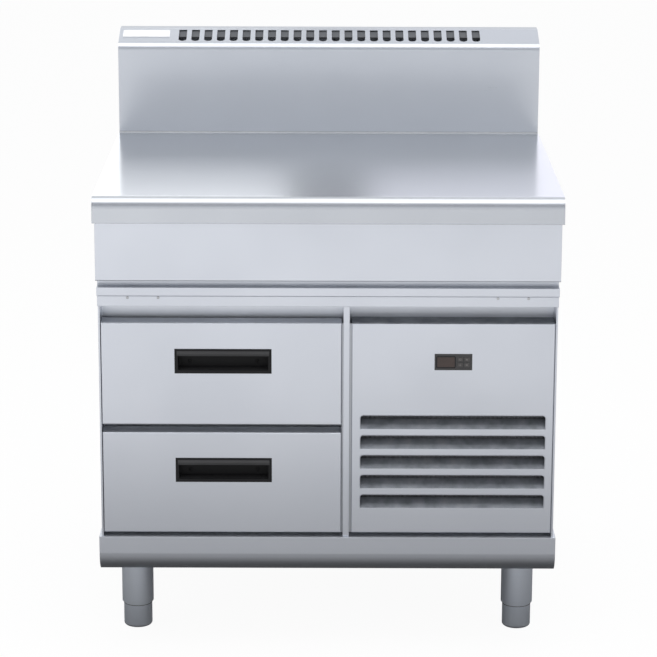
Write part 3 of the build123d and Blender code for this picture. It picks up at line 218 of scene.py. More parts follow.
# %% The pale floor
def floor_finish():
    """Makes the floor's material: white to the camera, and a graded glow to reflections."""
    material, tree, out = start_material("pale_floor")
    paint = add_node(tree, "BsdfDiffuse", {"Color": floor_colour})
    white_glow = add_node(tree, "Emission")
    mirror_glow = add_node(tree, "Emission")
    rays = add_node(tree, "LightPath")
    glow_part = add_node(tree, "Math", {1: floor_glow_share}, operation="MULTIPLY")
    camera_mix = add_node(tree, "MixShader")
    mirror_mix = add_node(tree, "MixShader")
    place = add_node(tree, "NewGeometry")
    apart = add_node(tree, "SeparateXYZ")
    either_side = add_node(tree, "VectorMath", operation="ABSOLUTE")
    beyond = add_node(tree, "VectorMath", {1: footprint_half}, operation="SUBTRACT")
    outside = add_node(tree, "VectorMath", {1: (0.0, 0.0, 0.0)}, operation="MAXIMUM")
    squeezed = add_node(tree, "VectorMath", {1: side_share}, operation="MULTIPLY")
    distance = add_node(tree, "VectorMath", operation="LENGTH")
    reach = add_node(tree, "MapRange", {"From Max": fall_distance})
    lean = add_node(tree, "MapRange", {"From Min": -lean_reach, "From Max": lean_reach})
    lean.inputs["To Min"].default_value = lean_left
    lean.inputs["To Max"].default_value = lean_right
    fall = add_node(tree, "ValToRGB")
    elements = fall.color_ramp.elements
    ready = len(elements)
    for index, (metres, glow) in enumerate(fall_stops):
        stop = elements[index] if index < ready else elements.new(metres / fall_distance)
        stop.position = metres / fall_distance
        stop.color = (glow, glow, glow * glow_blueness, 1.0)
    join(
        tree,
        (place, "Position", either_side, 0),
        (either_side, 0, beyond, 0),
        (beyond, 0, outside, 0),
        (outside, 0, squeezed, 0),
        (squeezed, 0, distance, 0),
        (distance, "Value", reach, "Value"),
        (reach, "Result", fall, "Fac"),
        (fall, "Color", mirror_glow, "Color"),
        (place, "Position", apart, 0),
        (apart, "X", lean, "Value"),
        (lean, "Result", mirror_glow, "Strength"),
        (rays, "Is Camera Ray", glow_part, 0),
        (glow_part, 0, camera_mix, "Fac"),
        (paint, 0, camera_mix, 1),
        (white_glow, 0, camera_mix, 2),
        (rays, "Is Glossy Ray", mirror_mix, "Fac"),
        (camera_mix, 0, mirror_mix, 1),
        (mirror_glow, 0, mirror_mix, 2),
        (mirror_mix, 0, out, "Surface"),
    )
    return material


floor_corners = [(x * floor_reach, y * floor_reach, 0.0) for x, y in ((-1, -1), (1, -1), (1, 1), (-1, 1))]
flat_card("floor", floor_corners, floor_finish())
print("floor", 2 * floor_reach, "m across")

# %% [markdown]
# ### Flags and reflectors
# The cards stand where a photographer would put flags and reflectors, and only mirror reflections see them.
# The lower flag in front grows lighter upwards and the one over it darker, and one bright panel hangs
# overhead, so a rounded fold reads as a light line over a dark one. Two bright panels stand behind the
# object with a gap between them, and the worktop mirrors the gap as the dark strip in its middle. A narrow
# strip close behind the splashback keeps its top ledge an even grey.


# %% A card that only reflections see
def mirror_card(name, low, high, colour, top_colour=None):
    """Makes a card between two corners, upright or level, that shows in reflections and nowhere else."""
    material, tree, out = start_material(name)
    glow = add_node(tree, "Emission", {"Color": (*colour, 1.0)})
    join(tree, (glow, 0, out, "Surface"))
    if top_colour:
        place = add_node(tree, "NewGeometry")
        apart = add_node(tree, "SeparateXYZ")
        share = add_node(tree, "MapRange", {"From Min": low[2], "From Max": high[2]})
        blend = add_node(tree, "Mix", {"A": (*colour, 1.0), "B": (*top_colour, 1.0)}, data_type="RGBA")
        join(
            tree,
            (place, "Position", apart, 0),
            (apart, "Z", share, "Value"),
            (share, "Result", blend, "Factor"),
            (blend, "Result", glow, "Color"),
        )
    upright = low[1] == high[1]
    fourth = (low[0], low[1] if upright else high[1], high[2])
    card = flat_card(name, [low, (high[0], low[1], low[2]), high, fourth], material)
    for kind in ("camera", "diffuse", "transmission", "shadow"):
        setattr(card, "visible_" + kind, False)


# %% Place the cards
front_y = -7.0
rear_y = 2.5
roof_front = -2.7
roof_rear = 0.3
flag_half = 6.0
panel_half = 4.5
gap_half = 0.12
flag_low = 0.75
flag_middle = 2.3
wall_low = 1.1
wall_high = 2.7
roof = 4.6
ledge_aside, ledge_behind, ledge_under, ledge_over = 0.02, 0.0375, 0.005, 0.035
ledge_half = cad_high.x + ledge_aside
ledge_y = cad_high.y + ledge_behind
ledge_low = cad_high.z - ledge_under
ledge_high = cad_high.z + ledge_over
dim_tone = (0.82, 0.83, 0.85)
cards = {
    "front_low_flag": ((-flag_half, front_y, flag_low), (flag_half, front_y, flag_middle), (0.6, 0.61, 0.63)),
    "front_flag": ((-flag_half, front_y, flag_middle), (flag_half, front_y, roof), (0.62, 0.63, 0.65)),
    "front_ceiling": ((-flag_half, front_y, roof), (flag_half, roof_front, roof), (0.42, 0.43, 0.46)),
    "overhead_panel": ((-panel_half, roof_front, roof), (panel_half, roof_rear, roof), (2.3, 2.3, 2.3)),
    "rear_ceiling": ((-panel_half, roof_rear, roof), (panel_half, rear_y, roof), dim_tone),
    "rear_top_panel": ((-panel_half, rear_y, wall_high), (panel_half, rear_y, roof), dim_tone),
    "rear_left_panel": ((-panel_half, rear_y, wall_low), (-gap_half, rear_y, wall_high), (2.1, 2.1, 2.1)),
    "rear_right_panel": ((gap_half, rear_y, wall_low), (panel_half, rear_y, wall_high), (1.52, 1.5, 1.62)),
    "rear_gap": ((-gap_half, rear_y, wall_low), (gap_half, rear_y, wall_high), (0.05, 0.05, 0.06)),
    "ledge_strip": ((-ledge_half, ledge_y, ledge_low), (ledge_half, ledge_y, ledge_high), (0.78, 0.79, 0.81)),
}
top_tones = {"front_low_flag": (1.25, 1.26, 1.28), "front_flag": (0.43, 0.44, 0.47)}
for name, (low, high, tone) in cards.items():
    mirror_card(name, low, high, tone, top_tones.get(name))
print("cards:", len(cards), "of them graded upwards:", len(top_tones))

# %% [markdown]
# ### Soft lamps
# Plastic, foam and the floor aren't mirrors, so they need light of the usual kind. Three large area lamps
# give it, a strong one overhead and a weaker one on each side. They are hidden from mirror reflections,
# because the steel already sees the cards.


# %% Hang the lamps
def softbox(name, place, look_at, width, height, power):
    """Hangs a large area lamp at a place and turns it to look at a point."""
    data = bpy.data.lights.new(name, "AREA")
    data.shape = "RECTANGLE"
    data.size = width
    data.size_y = height
    data.energy = power
    lamp = bpy.data.objects.new(name, data)
    scene.collection.objects.link(lamp)
    lamp.location = place
    lamp.rotation_euler = (Vector(look_at) - Vector(place)).to_track_quat("-Z", "Y").to_euler()
    lamp.visible_glossy = False


side_box = dict(look_at=(0.0, 0.0, 0.6), width=1.8, height=2.2)
softbox("overhead_softbox", (0.0, -0.4, 3.7), look_at=(0.0, 0.0, 0.5), width=3.6, height=3.0, power=70.0)
softbox("left_softbox", (-3.6, -2.2, 2.0), power=26.0, **side_box)
softbox("right_softbox", (3.6, -2.2, 2.0), power=20.0, **side_box)

# %% [markdown]
# ## Shared surface effects
# Most of the object is one kind of sheet with one kind of finish, and a look that many materials share is
# best built once. Each effect is a node group with named inputs. It gives out only masks, colours and
# heights, and the shader itself stays in the material.


# %% Start a node group
def start_group(name, inputs, outputs):
    """Makes a node group. Each input is (name, socket type, default) and each output (name, socket type)."""
    group = bpy.data.node_groups.new(name, "ShaderNodeTree")
    for socket_name, kind, default in inputs:
        socket = group.interface.new_socket(name=socket_name, in_out="INPUT", socket_type=kind)
        socket.default_value = default
    for socket_name, kind in outputs:
        group.interface.new_socket(name=socket_name, in_out="OUTPUT", socket_type=kind)
    return group, group.nodes.new("NodeGroupInput"), group.nodes.new("NodeGroupOutput")


# %% [markdown]
# ### Brushed grain
# A belt sander leaves long scratches that all run one way. Noise that is squeezed hard across the grain and
# hardly at all along it gives such scratches, and it needs no picture. The object's own coordinates are
# used, in metres, so the scratches keep their real width on every piece.

# %% Brushed grain as a group
grain_detail = 3.0
grain_break = 0.6
grain_contrast = 0.5


def brushed_grain():
    """Builds the group that gives streaks round one half and the height of the same scratches."""
    group, given, result = start_group(
        "brushed_grain",
        [("Stretch", "NodeSocketVector", (4.0, 900.0, 900.0))],
        [("Streaks", "NodeSocketFloat"), ("Height", "NodeSocketFloat")],
    )
    place = add_node(group, "TexCoord")
    squeeze = add_node(group, "VectorMath", operation="MULTIPLY")
    noise = add_node(group, "TexNoise", {"Scale": 1.0, "Detail": grain_detail, "Roughness": grain_break})
    centred = {1: grain_contrast, 2: (1 - grain_contrast) / 2}
    contrast = add_node(group, "Math", centred, operation="MULTIPLY_ADD")
    join(
        group,
        (place, "Object", squeeze, 0),
        (given, "Stretch", squeeze, 1),
        (squeeze, 0, noise, "Vector"),
        (noise, "Fac", contrast, 0),
        (contrast, 0, result, "Streaks"),
        (noise, "Fac", result, "Height"),
    )
    return group


grain_group = brushed_grain()
print("group", grain_group.name)

# %% [markdown]
# ### Cloudy tone
# No sheet is the same all over: rolling, cleaning and hands leave slow patches that are a little duller or
# brighter. A soft, large noise mixes two tones and gives out the same patches as a mask for the roughness.

# %% Cloudy tone as a group
cloud_detail = 2.5
cloud_low = 0.3
cloud_high = 0.7


def cloudy_tone():
    """Builds the group that mixes two tones in soft patches."""
    group, given, result = start_group(
        "cloudy_tone",
        [
            ("Tone", "NodeSocketColor", (0.7, 0.7, 0.7, 1.0)),
            ("Second Tone", "NodeSocketColor", (0.6, 0.6, 0.6, 1.0)),
            ("Size", "NodeSocketFloat", 5.0),
        ],
        [("Colour", "NodeSocketColor"), ("Patches", "NodeSocketFloat")],
    )
    place = add_node(group, "TexCoord")
    noise = add_node(group, "TexNoise", {"Detail": cloud_detail})
    patches = add_node(group, "MapRange", {"From Min": cloud_low, "From Max": cloud_high})
    mix = add_node(group, "Mix", data_type="RGBA")
    join(
        group,
        (place, "Object", noise, "Vector"),
        (given, "Size", noise, "Scale"),
        (noise, "Fac", patches, "Value"),
        (patches, "Result", mix, "Factor"),
        (given, "Tone", mix, "A"),
        (given, "Second Tone", mix, "B"),
        (mix, "Result", result, "Colour"),
        (patches, "Result", result, "Patches"),
    )
    return group


cloud_group = cloudy_tone()
print("group", cloud_group.name)

# %% [markdown]
# ### Pebbled skin
# Moulded plastic and rubber carry a fine pebbled skin from the mould. Small cells, blurred into each other,
# raise and lower the surface by a few hundredths of a millimetre.


# %% Pebbled skin as a group
def pebbled_skin():
    """Builds the group that gives the height of small round pebbles."""
    group, given, result = start_group(
        "pebbled_skin", [("Size", "NodeSocketFloat", 900.0)], [("Height", "NodeSocketFloat")]
    )
    place = add_node(group, "TexCoord")
    cells = add_node(group, "TexVoronoi", feature="SMOOTH_F1")
    join(
        group,
        (place, "Object", cells, "Vector"),
        (given, "Size", cells, "Scale"),
        (cells, "Distance", result, "Height"),
    )
    return group


pebble_group = pebbled_skin()
print("group", pebble_group.name)

# %% [markdown]
# ### Dust and painted shade on faces that look up
# Faces that look up turn greyer and duller. On open tops this is dust and wiping. On the tops in the shaded
# gaps and on the louvre blades it is painted shade. The mask rises with the upward part of the surface's
# direction, and a noise breaks it up.

# %% Dust and painted shade as a group
dust_and_shade_detail = 3.0
dust_and_shade_noise_low = 0.25
dust_and_shade_noise_high = 0.75
dust_and_shade_thinnest = 0.75


def dust_and_shade():
    """Builds the group that gives a mask of dusting and painted shade on faces that look up."""
    group, given, result = start_group(
        "dust_and_shade",
        [
            ("Start", "NodeSocketFloat", 0.7),
            ("Full", "NodeSocketFloat", 0.85),
            ("Size", "NodeSocketFloat", 40.0),
        ],
        [("Mask", "NodeSocketFloat")],
    )
    place = add_node(group, "TexCoord")
    apart = add_node(group, "SeparateXYZ")
    upward = add_node(group, "MapRange")
    noise = add_node(group, "TexNoise", {"Detail": dust_and_shade_detail})
    uneven = add_node(group, "MapRange", {"From Min": dust_and_shade_noise_low, "From Max": dust_and_shade_noise_high})
    uneven.inputs["To Min"].default_value = dust_and_shade_thinnest
    mask = add_node(group, "Math", operation="MULTIPLY")
    join(
        group,
        (place, "Normal", apart, 0),
        (apart, "Z", upward, "Value"),
        (given, "Start", upward, "From Min"),
        (given, "Full", upward, "From Max"),
        (place, "Object", noise, "Vector"),
        (given, "Size", noise, "Scale"),
        (noise, "Fac", uneven, "Value"),
        (upward, "Result", mask, 0),
        (uneven, "Result", mask, 1),
        (mask, 0, result, "Mask"),
    )
    return group


dust_and_shade_group = dust_and_shade()
print("group", dust_and_shade_group.name)

# %% [markdown]
# ## The finishes
# A sheet's material joins the effects: cloudy tone and a mask of dust and painted shade for the colour,
# streaks and patches for the roughness, and the grain's height as a very shallow bump. A brushed sheet also
# blurs reflections much more across its grain than along it, which is what the shader's anisotropy does. The
# Bevel node rounds the light on every fold by the radius of a real press-brake fold, so each edge catches a
# thin highlight.


# %% Cloudy tone in a material
def add_cloud(tree, tones, patch_size):
    """Places the cloudy tone with its two tones and the size of its patches, and returns the node."""
    values = {"Tone": (*tones[0], 1.0), "Second Tone": (*tones[1], 1.0), "Size": patch_size}
    return add_node(tree, "Group", values, node_tree=cloud_group)


# %% Dust and painted shade on a sheet
# Grey of dust on open tops, and of painted shade on the tops in the shaded gaps
dust_and_shade_colour = (0.22, 0.235, 0.26, 1.0)
dust_and_shade_dulls = -0.7
dust_and_shade_roughens = 0.2
dust_and_shade_blend = 0.12


def add_dust_and_shade(tree, shader, cloud, rough, dust_and_shade_amount, dust_and_shade_start, dust_and_shade_tone):
    """Lays a dusting and painted shade over a metal: where the mask is, the tone turns grey and the shine
    duller.
    """
    ends = {"Start": dust_and_shade_start, "Full": dust_and_shade_start + dust_and_shade_blend}
    dust_and_shade_mask = add_node(tree, "Group", ends, node_tree=dust_and_shade_group)
    share = add_node(tree, "Math", {1: dust_and_shade_amount}, operation="MULTIPLY")
    tone = add_node(tree, "Mix", {"B": dust_and_shade_tone}, data_type="RGBA")
    bare = add_node(tree, "Math", {1: dust_and_shade_dulls, 2: 1.0}, operation="MULTIPLY_ADD")
    duller = add_node(tree, "Math", {1: dust_and_shade_roughens}, operation="MULTIPLY_ADD")
    join(
        tree,
        (dust_and_shade_mask, "Mask", share, 0),
        (share, 0, tone, "Factor"),
        (cloud, "Colour", tone, "A"),
        (tone, "Result", shader, "Base Color"),
        (share, 0, bare, 0),
        (bare, 0, shader, "Metallic"),
        (share, 0, duller, 0),
        (rough, 0, duller, 2),
        (duller, 0, shader, "Roughness"),
    )


# %% Brushed and plain metal
across_level_grain = (0.0, 1.0, 1.0)
across_deep_grain = (0.0, 0.0, 1.0)
grain_depth = 0.00002
grain_spread = 0.06
patch_spread = 0.02
fold_samples = 4


def sheet_metal(name, tones, roughness, stretch, anisotropy=0.0, across=across_level_grain, fold_radius=0.0,
                patch_size=5.0, dust_and_shade_amount=0.0, dust_and_shade_start=0.7, dust_and_shade_tone=dust_and_shade_colour):
    """Makes a metal finish whose grain runs along the axis with the small stretch."""
    material, tree, out = start_material(name)
    shader = add_node(tree, "BsdfPrincipled", {"Metallic": 1.0, "Anisotropic": anisotropy})
    cloud = add_cloud(tree, tones, patch_size)
    grain = add_node(tree, "Group", {"Stretch": stretch}, node_tree=grain_group)
    smoothest = roughness - grain_spread / 2
    streaks = add_node(tree, "MapRange", {"To Min": smoothest, "To Max": smoothest + grain_spread})
    rough = add_node(tree, "Math", {1: patch_spread}, operation="MULTIPLY_ADD")
    bump = add_node(tree, "Bump", {"Distance": grain_depth})
    join(
        tree,
        (cloud, "Colour", shader, "Base Color"),
        (grain, "Streaks", streaks, "Value"),
        (cloud, "Patches", rough, 0),
        (streaks, "Result", rough, 2),
        (rough, 0, shader, "Roughness"),
        (grain, "Height", bump, "Height"),
        (bump, "Normal", shader, "Normal"),
        (shader, 0, out, "Surface"),
    )
    if dust_and_shade_amount:
        add_dust_and_shade(tree, shader, cloud, rough, dust_and_shade_amount, dust_and_shade_start, dust_and_shade_tone)
    if fold_radius:
        folds = add_node(tree, "Bevel", {"Radius": fold_radius}, samples=fold_samples)
        join(tree, (folds, "Normal", bump, "Normal"))
    if anisotropy:
        direction = add_node(tree, "CombineXYZ", dict(zip("XYZ", across)))
        join(tree, (direction, 0, shader, "Tangent"))
    return material


# %% [markdown]
# ### Plastic, rubber, foam and paint
# These finishes aren't mirrors. Their tone is a little uneven too, and the pebbled skin both breaks up the
# shine and raises the bump. One function with a pebble size, a depth and a shine serves them all, from a
# smooth display window to open foam.

# %% Plastic, rubber, foam and paint
pebble_spread = 0.1


def moulded(name, tones, roughness, pebble_size=900.0, bump_depth=0.00004, patch_size=12.0, shine=0.5):
    """Makes a finish that isn't metal, with a pebbled skin and a slightly uneven tone."""
    material, tree, out = start_material(name)
    shader = add_node(tree, "BsdfPrincipled", {"Specular IOR Level": shine})
    cloud = add_cloud(tree, tones, patch_size)
    pebbles = add_node(tree, "Group", {"Size": pebble_size}, node_tree=pebble_group)
    smoothest = roughness - pebble_spread / 2
    rough = add_node(tree, "MapRange", {"To Min": smoothest, "To Max": smoothest + pebble_spread})
    bump = add_node(tree, "Bump", {"Distance": bump_depth})
    join(
        tree,
        (cloud, "Colour", shader, "Base Color"),
        (pebbles, "Height", rough, "Value"),
        (rough, "Result", shader, "Roughness"),
        (pebbles, "Height", bump, "Height"),
        (bump, "Normal", shader, "Normal"),
        (shader, 0, out, "Surface"),
    )
    return material


# %% [markdown]
# ### The metals
# Brushed steel shows its grain along the sheet: level on the front, from front to back on the sides. Fronts
# and sides carry dust and painted shade where they face up, and the louvre blades carry painted shade. The
# splashback is a little darker, and the recess over the drawers has no fold lines and a lighter tone that is
# painted light.
# Legs, screws, zinc, fins and copper pipe are plain.

# %% Make the metals
grain_along_x = (3.0, 700.0, 700.0)
grain_along_y = (700.0, 3.0, 700.0)
grain_along_z = (700.0, 700.0, 3.0)
no_grain = (160.0, 160.0, 160.0)
fold_width = 0.0011
panel_metal = dict(
    tones=((0.745, 0.775, 0.835), (0.715, 0.745, 0.805)), roughness=0.3, stretch=grain_along_x,
    anisotropy=0.5, fold_radius=fold_width,
)
leg_metal = dict(tones=((0.88, 0.93, 1.0), (0.78, 0.83, 0.92)), roughness=0.43, stretch=grain_along_z)
# Painted shade: the louvre blades, which face up, turn near black and dull
louvre_painted_shade = dict(dust_and_shade_amount=0.95, dust_and_shade_start=0.62, dust_and_shade_tone=(0.085, 0.096, 0.112, 1.0))
metals = {
    # Fronts and sides: dust on open tops, and painted shade on the tops in the shaded gaps
    "stainless_panel": dict(panel_metal, dust_and_shade_amount=0.45),
    "stainless_louvred": dict(panel_metal, **louvre_painted_shade),
    "stainless_side": dict(panel_metal, stretch=grain_along_y, across=across_deep_grain, dust_and_shade_amount=0.3),
    "stainless_splash": dict(panel_metal, tones=((0.66, 0.69, 0.74), (0.635, 0.665, 0.715)), roughness=0.28),
    "stainless_worktop": dict(
        panel_metal, tones=((0.615, 0.64, 0.68), (0.595, 0.62, 0.66)), roughness=0.235, anisotropy=0.8
    ),
    # Painted light: the recess over the drawers lies in shade, so its tone is lighter than the panels'
    "stainless_recess_painted_light": dict(
        tones=((0.8, 0.83, 0.885), (0.77, 0.8, 0.855)), roughness=0.34, stretch=grain_along_x
    ),
    "stainless_inner": dict(
        tones=((0.66, 0.675, 0.7), (0.61, 0.63, 0.66)), roughness=0.38, stretch=grain_along_y
    ),
    "stainless_leg": leg_metal,
    "stainless_foot": leg_metal,
    "stainless_screw": dict(tones=((0.6, 0.61, 0.63), (0.5, 0.51, 0.53)), roughness=0.35, stretch=no_grain),
    "zinc_sheet": dict(
        tones=((0.6, 0.61, 0.61), (0.48, 0.49, 0.5)), roughness=0.5, stretch=no_grain, patch_size=90.0
    ),
    "aluminium_fins": dict(
        tones=((0.78, 0.79, 0.8), (0.7, 0.71, 0.72)), roughness=0.42, stretch=grain_along_z
    ),
    "pipe_copper": dict(
        tones=((0.72, 0.38, 0.25), (0.6, 0.29, 0.18)), roughness=0.34, stretch=no_grain, patch_size=60.0
    ),
}
finishes = {name: sheet_metal(name, **values) for name, values in metals.items()}
print("metals:", len(metals))

# %% [markdown]
# ### The plastics and paints
# The grips and the controller are near black, the core of the drawers is pale, and the bare plate at the end
# of the slope is a pale plastic too. The insides of the machine get the colours that such parts usually have.

# %% Make the plastics and paints
smooth_depth = 0.00001
foam_depth = 0.0004
plastics = {
    "blank_plate": dict(
        tones=((0.84, 0.85, 0.865), (0.8, 0.81, 0.825)), roughness=0.36, bump_depth=smooth_depth
    ),
    "black_grip": dict(tones=((0.012, 0.012, 0.013), (0.008, 0.008, 0.009)), roughness=0.5, shine=0.22),
    "controller_case": dict(tones=((0.045, 0.044, 0.045), (0.035, 0.034, 0.035)), roughness=0.45),
    "display_window": dict(
        tones=((0.05, 0.03, 0.024), (0.04, 0.026, 0.022)), roughness=0.16, bump_depth=smooth_depth
    ),
    "key_cap": dict(tones=((0.075, 0.07, 0.068), (0.06, 0.056, 0.055)), roughness=0.5),
    "seal_rubber": dict(
        tones=((0.05, 0.05, 0.053), (0.035, 0.035, 0.037)), roughness=0.62, pebble_size=1400.0
    ),
    "fan_plastic": dict(tones=((0.035, 0.035, 0.038), (0.028, 0.028, 0.03)), roughness=0.42),
    "box_plastic": dict(tones=((0.5, 0.51, 0.52), (0.46, 0.47, 0.48)), roughness=0.48),
    "motor_paint": dict(tones=((0.09, 0.09, 0.095), (0.07, 0.07, 0.075)), roughness=0.5, pebble_size=500.0),
    "compressor_paint": dict(
        tones=((0.02, 0.02, 0.022), (0.014, 0.014, 0.016)), roughness=0.28, pebble_size=260.0
    ),
    "foam_core": dict(
        tones=((0.78, 0.66, 0.36), (0.7, 0.56, 0.28)), roughness=0.85, pebble_size=420.0, patch_size=30.0,
        bump_depth=foam_depth,
    ),
    "drawer_core": dict(tones=((0.72, 0.73, 0.74), (0.68, 0.69, 0.7)), roughness=0.55, pebble_size=700.0),
}
finishes.update({name: moulded(name, **values) for name, values in plastics.items()})
print("finishes:", len(finishes))

# %% [markdown]
# ### Painted shade of the groove on the feet
# Just under each tube a shallow groove runs round the foot, and its shade is painted into the finish as a
# fine dark line. The groove is too shallow to be a shape of its own and has to slide up into the tube, so it
# belongs to
# the finish: where the foot's own height lies within half a millimetre of the line, the tone turns dark. The
# height is the foot's own, so the line moves with it.

# %% Paint the groove's shade round the feet
line_height = 0.0479
line_half = 0.00055
# Painted shade: the dark tone that stands for the shade in the groove
groove_shade_tone = (0.12, 0.125, 0.135, 1.0)

foot_tree = finishes["stainless_foot"].node_tree
foot_shader = foot_tree.nodes["Principled BSDF"]
foot_cloud = foot_shader.inputs["Base Color"].links[0].from_node
foot_place = add_node(foot_tree, "TexCoord")
foot_apart = add_node(foot_tree, "SeparateXYZ")
groove_shade_mask = add_node(foot_tree, "Math", {1: line_height, 2: line_half}, operation="COMPARE")
groove_shade_mix = add_node(foot_tree, "Mix", {"B": groove_shade_tone}, data_type="RGBA")
join(
    foot_tree,
    (foot_place, "Object", foot_apart, 0),
    (foot_apart, "Z", groove_shade_mask, 0),
    (groove_shade_mask, 0, groove_shade_mix, "Factor"),
    (foot_cloud, "Colour", groove_shade_mix, "A"),
    (groove_shade_mix, "Result", foot_shader, "Base Color"),
)
print("line at", line_height, "m")

# %% [markdown]
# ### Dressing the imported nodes
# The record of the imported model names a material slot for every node, and that slot picks the finish. A few
# nodes share a slot but look different on the real object, so they are named here with a finish of their own.

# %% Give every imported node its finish
foot_names = [name for name in nodes if name.endswith("_foot")]
side_names = ("left_side_panel", "right_side_panel", "left_apron", "right_apron")
own_finishes = {
    "splashback": "stainless_splash",
    "service_panel": "stainless_louvred",
    "drawer_frame": "stainless_recess_painted_light",
    **dict.fromkeys(side_names, "stainless_side"),
    **dict.fromkeys(foot_names, "stainless_foot"),
}
node_slots = {row["node"]: row["material_slot"] for row in frame["record"]["subparts"]}
for name, node in nodes.items():
    finish = finishes[own_finishes.get(name, node_slots[name])]
    if not node.material_slots:
        node.data.materials.append(finish)
    for material_slot in node.material_slots:
        material_slot.material = finish
print("nodes finished:", len(node_slots), "of them in a finish of their own:", len(own_finishes))

# %% [markdown]
# ## Making the small pieces
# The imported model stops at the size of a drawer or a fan. Seal beads, rolled lips, screws, wire guards and
# marks on the keys are added here. Each one is a list of simple forms worked out in code, so every length
# can be read and changed: a form turned about an axis, or a section swept along a path. The helpers work in
# millimetres, because sheet metal is drawn in millimetres, and turn them into metres at the end. Most
# fittings sink 0.3 millimetres into what carries them, so that no gap shows.

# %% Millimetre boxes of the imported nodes
mm = 0.001
sink = 0.3
quarter = math.pi / 2


def node_box(name):
    """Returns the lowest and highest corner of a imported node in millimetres."""
    low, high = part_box(name)
    return Vector(low) / mm, Vector(high) / mm


def node_middle(name):
    """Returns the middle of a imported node's box in millimetres."""
    low, high = node_box(name)
    return (low + high) / 2


worktop_top = node_box("worktop")[1].z
print("worktop top at", round(worktop_top, 1), "mm")

# %% [markdown]
# ### Turned forms
# Rivets, screws, grommets and rings are round about one axis, as if they came off a lathe. A short profile of
# radius and height is turned in steps, and neighbouring steps are joined with faces. A solid form gets a
# face at each end, and a ring closes its profile instead.


# %% A form turned about an axis
def turned_form(profile, place, axis, steps=32, turn=0.0, ring=False):
    """Turns a profile of (radius, height) about an axis through a place. A ring closes its profile."""
    along = Vector(axis).normalized()
    side = along.orthogonal().normalized()
    corners, faces = [], []
    for step in range(steps):
        angle = turn + 2 * math.pi * step / steps
        outward = Matrix.Rotation(angle, 3, along) @ side
        corners += [Vector(place) + outward * radius + along * height for radius, height in profile]
    count = len(profile)
    for step in range(steps):
        here, there = step * count, (step + 1) % steps * count
        for index in range(count if ring else count - 1):
            after = (index + 1) % count
            faces.append((here + index, there + index, there + after, here + after))
    if not ring:
        faces.append(tuple(step * count for step in range(steps)))
        faces.append(tuple(step * count + count - 1 for step in reversed(range(steps))))
    return corners, faces


# %% [markdown]
# ### Swept forms
# A seal, a rim or a wire has the same section all along. The section is set up at every point of a path,
# square to the path, and stretched a little where the path turns, so that a mitred corner keeps its width.

# %% A section swept along a path
tightest_cosine = 0.5


def swept_form(path, section, across, closed=False):
    """Sweeps a section of (sideways, across) points along a path. Sideways is square to path and across."""
    points = [Vector(point) for point in path]
    across = Vector(across).normalized()
    corners, faces = [], []
    count = len(section)
    for index, point in enumerate(points):
        before = points[index - 1] if closed or index else point
        after = points[(index + 1) % len(points)] if closed or index < len(points) - 1 else point
        arriving, leaving = point - before, after - point
        arriving = arriving.normalized() if arriving.length else leaving.normalized()
        leaving = leaving.normalized() if leaving.length else arriving
        side = (arriving + leaving).normalized().cross(across).normalized()
        stretch = 1 / max(math.cos(arriving.angle(leaving) / 2), tightest_cosine)
        corners += [point + side * sideways * stretch + across * lift for sideways, lift in section]
    for index in range(len(points) if closed else len(points) - 1):
        here, there = index * count, (index + 1) % len(points) * count
        for step in range(count):
            after = (step + 1) % count
            faces.append((here + step, there + step, there + after, here + after))
    if not closed:
        faces.append(tuple(range(count)))
        faces.append(tuple(reversed(range(len(corners) - count, len(corners)))))
    return corners, faces


# %% [markdown]
# ### Circles, arcs and rounded paths
# Sheet is never bent to a sharp point, so nearly every path here has round corners. They are worked out from
# evenly spaced angles, and the same few helpers draw a round section, an arc, an arch and a closed loop.


# %% Circles, arcs and rounded paths
def angles(end, steps):
    """Returns evenly spaced angles from zero to an end."""
    return [end * step / steps for step in range(steps + 1)]


def round_section(radius, steps=10):
    """Returns a circle as a section."""
    return [(radius * math.cos(angle), radius * math.sin(angle)) for angle in angles(4 * quarter, steps)[:-1]]


def arc_points(centre, first, second, end, steps):
    """Returns points on an arc: the centre plus two perpendicular radii times cosine and sine."""
    return [
        Vector(centre) + Vector(first) * math.cos(angle) + Vector(second) * math.sin(angle)
        for angle in angles(end, steps)
    ]


def arch_path(left, right, foot, top, radius, placed, steps=6):
    """Returns a path up one side, over two round corners and down the other. Placed turns it into space."""
    level = top - radius
    arch = [(left, foot)]
    for angle in angles(quarter, steps):
        arch.append((left + radius - radius * math.cos(angle), level + radius * math.sin(angle)))
    for angle in angles(quarter, steps):
        arch.append((right - radius + radius * math.sin(angle), level + radius * math.cos(angle)))
    arch.append((right, foot))
    return [placed(sideways, up) for sideways, up in arch]


def rounded_loop(low, high, radius, y, steps=6):
    """Returns a closed upright loop at one depth with rounded corners, between two corners of a box."""
    middles = [(high.x - radius, high.z - radius), (low.x + radius, high.z - radius)]
    middles += [(low.x + radius, low.z + radius), (high.x - radius, low.z + radius)]
    radii = [Vector((radius, 0, 0)), Vector((0, 0, radius)), Vector((-radius, 0, 0)), Vector((0, 0, -radius))]
    loop = []
    for index, (x, z) in enumerate(middles):
        loop += arc_points((x, y, z), radii[index], radii[(index + 1) % 4], quarter, steps)
    return loop


# %% [markdown]
# ### From forms to a piece
# The last helper joins the forms into one mesh, can round its edges with a small bevel, and hangs the piece
# on the body that carries it. Its finish is the one given, or else the one that the material slot of the
# record picks. Real edges are never perfectly sharp, and even a tenth of a millimetre of rounding gives the
# light something to catch.

# %% Join forms into a piece
smooth_angle = math.radians(35.0)
bevel_steps = 2


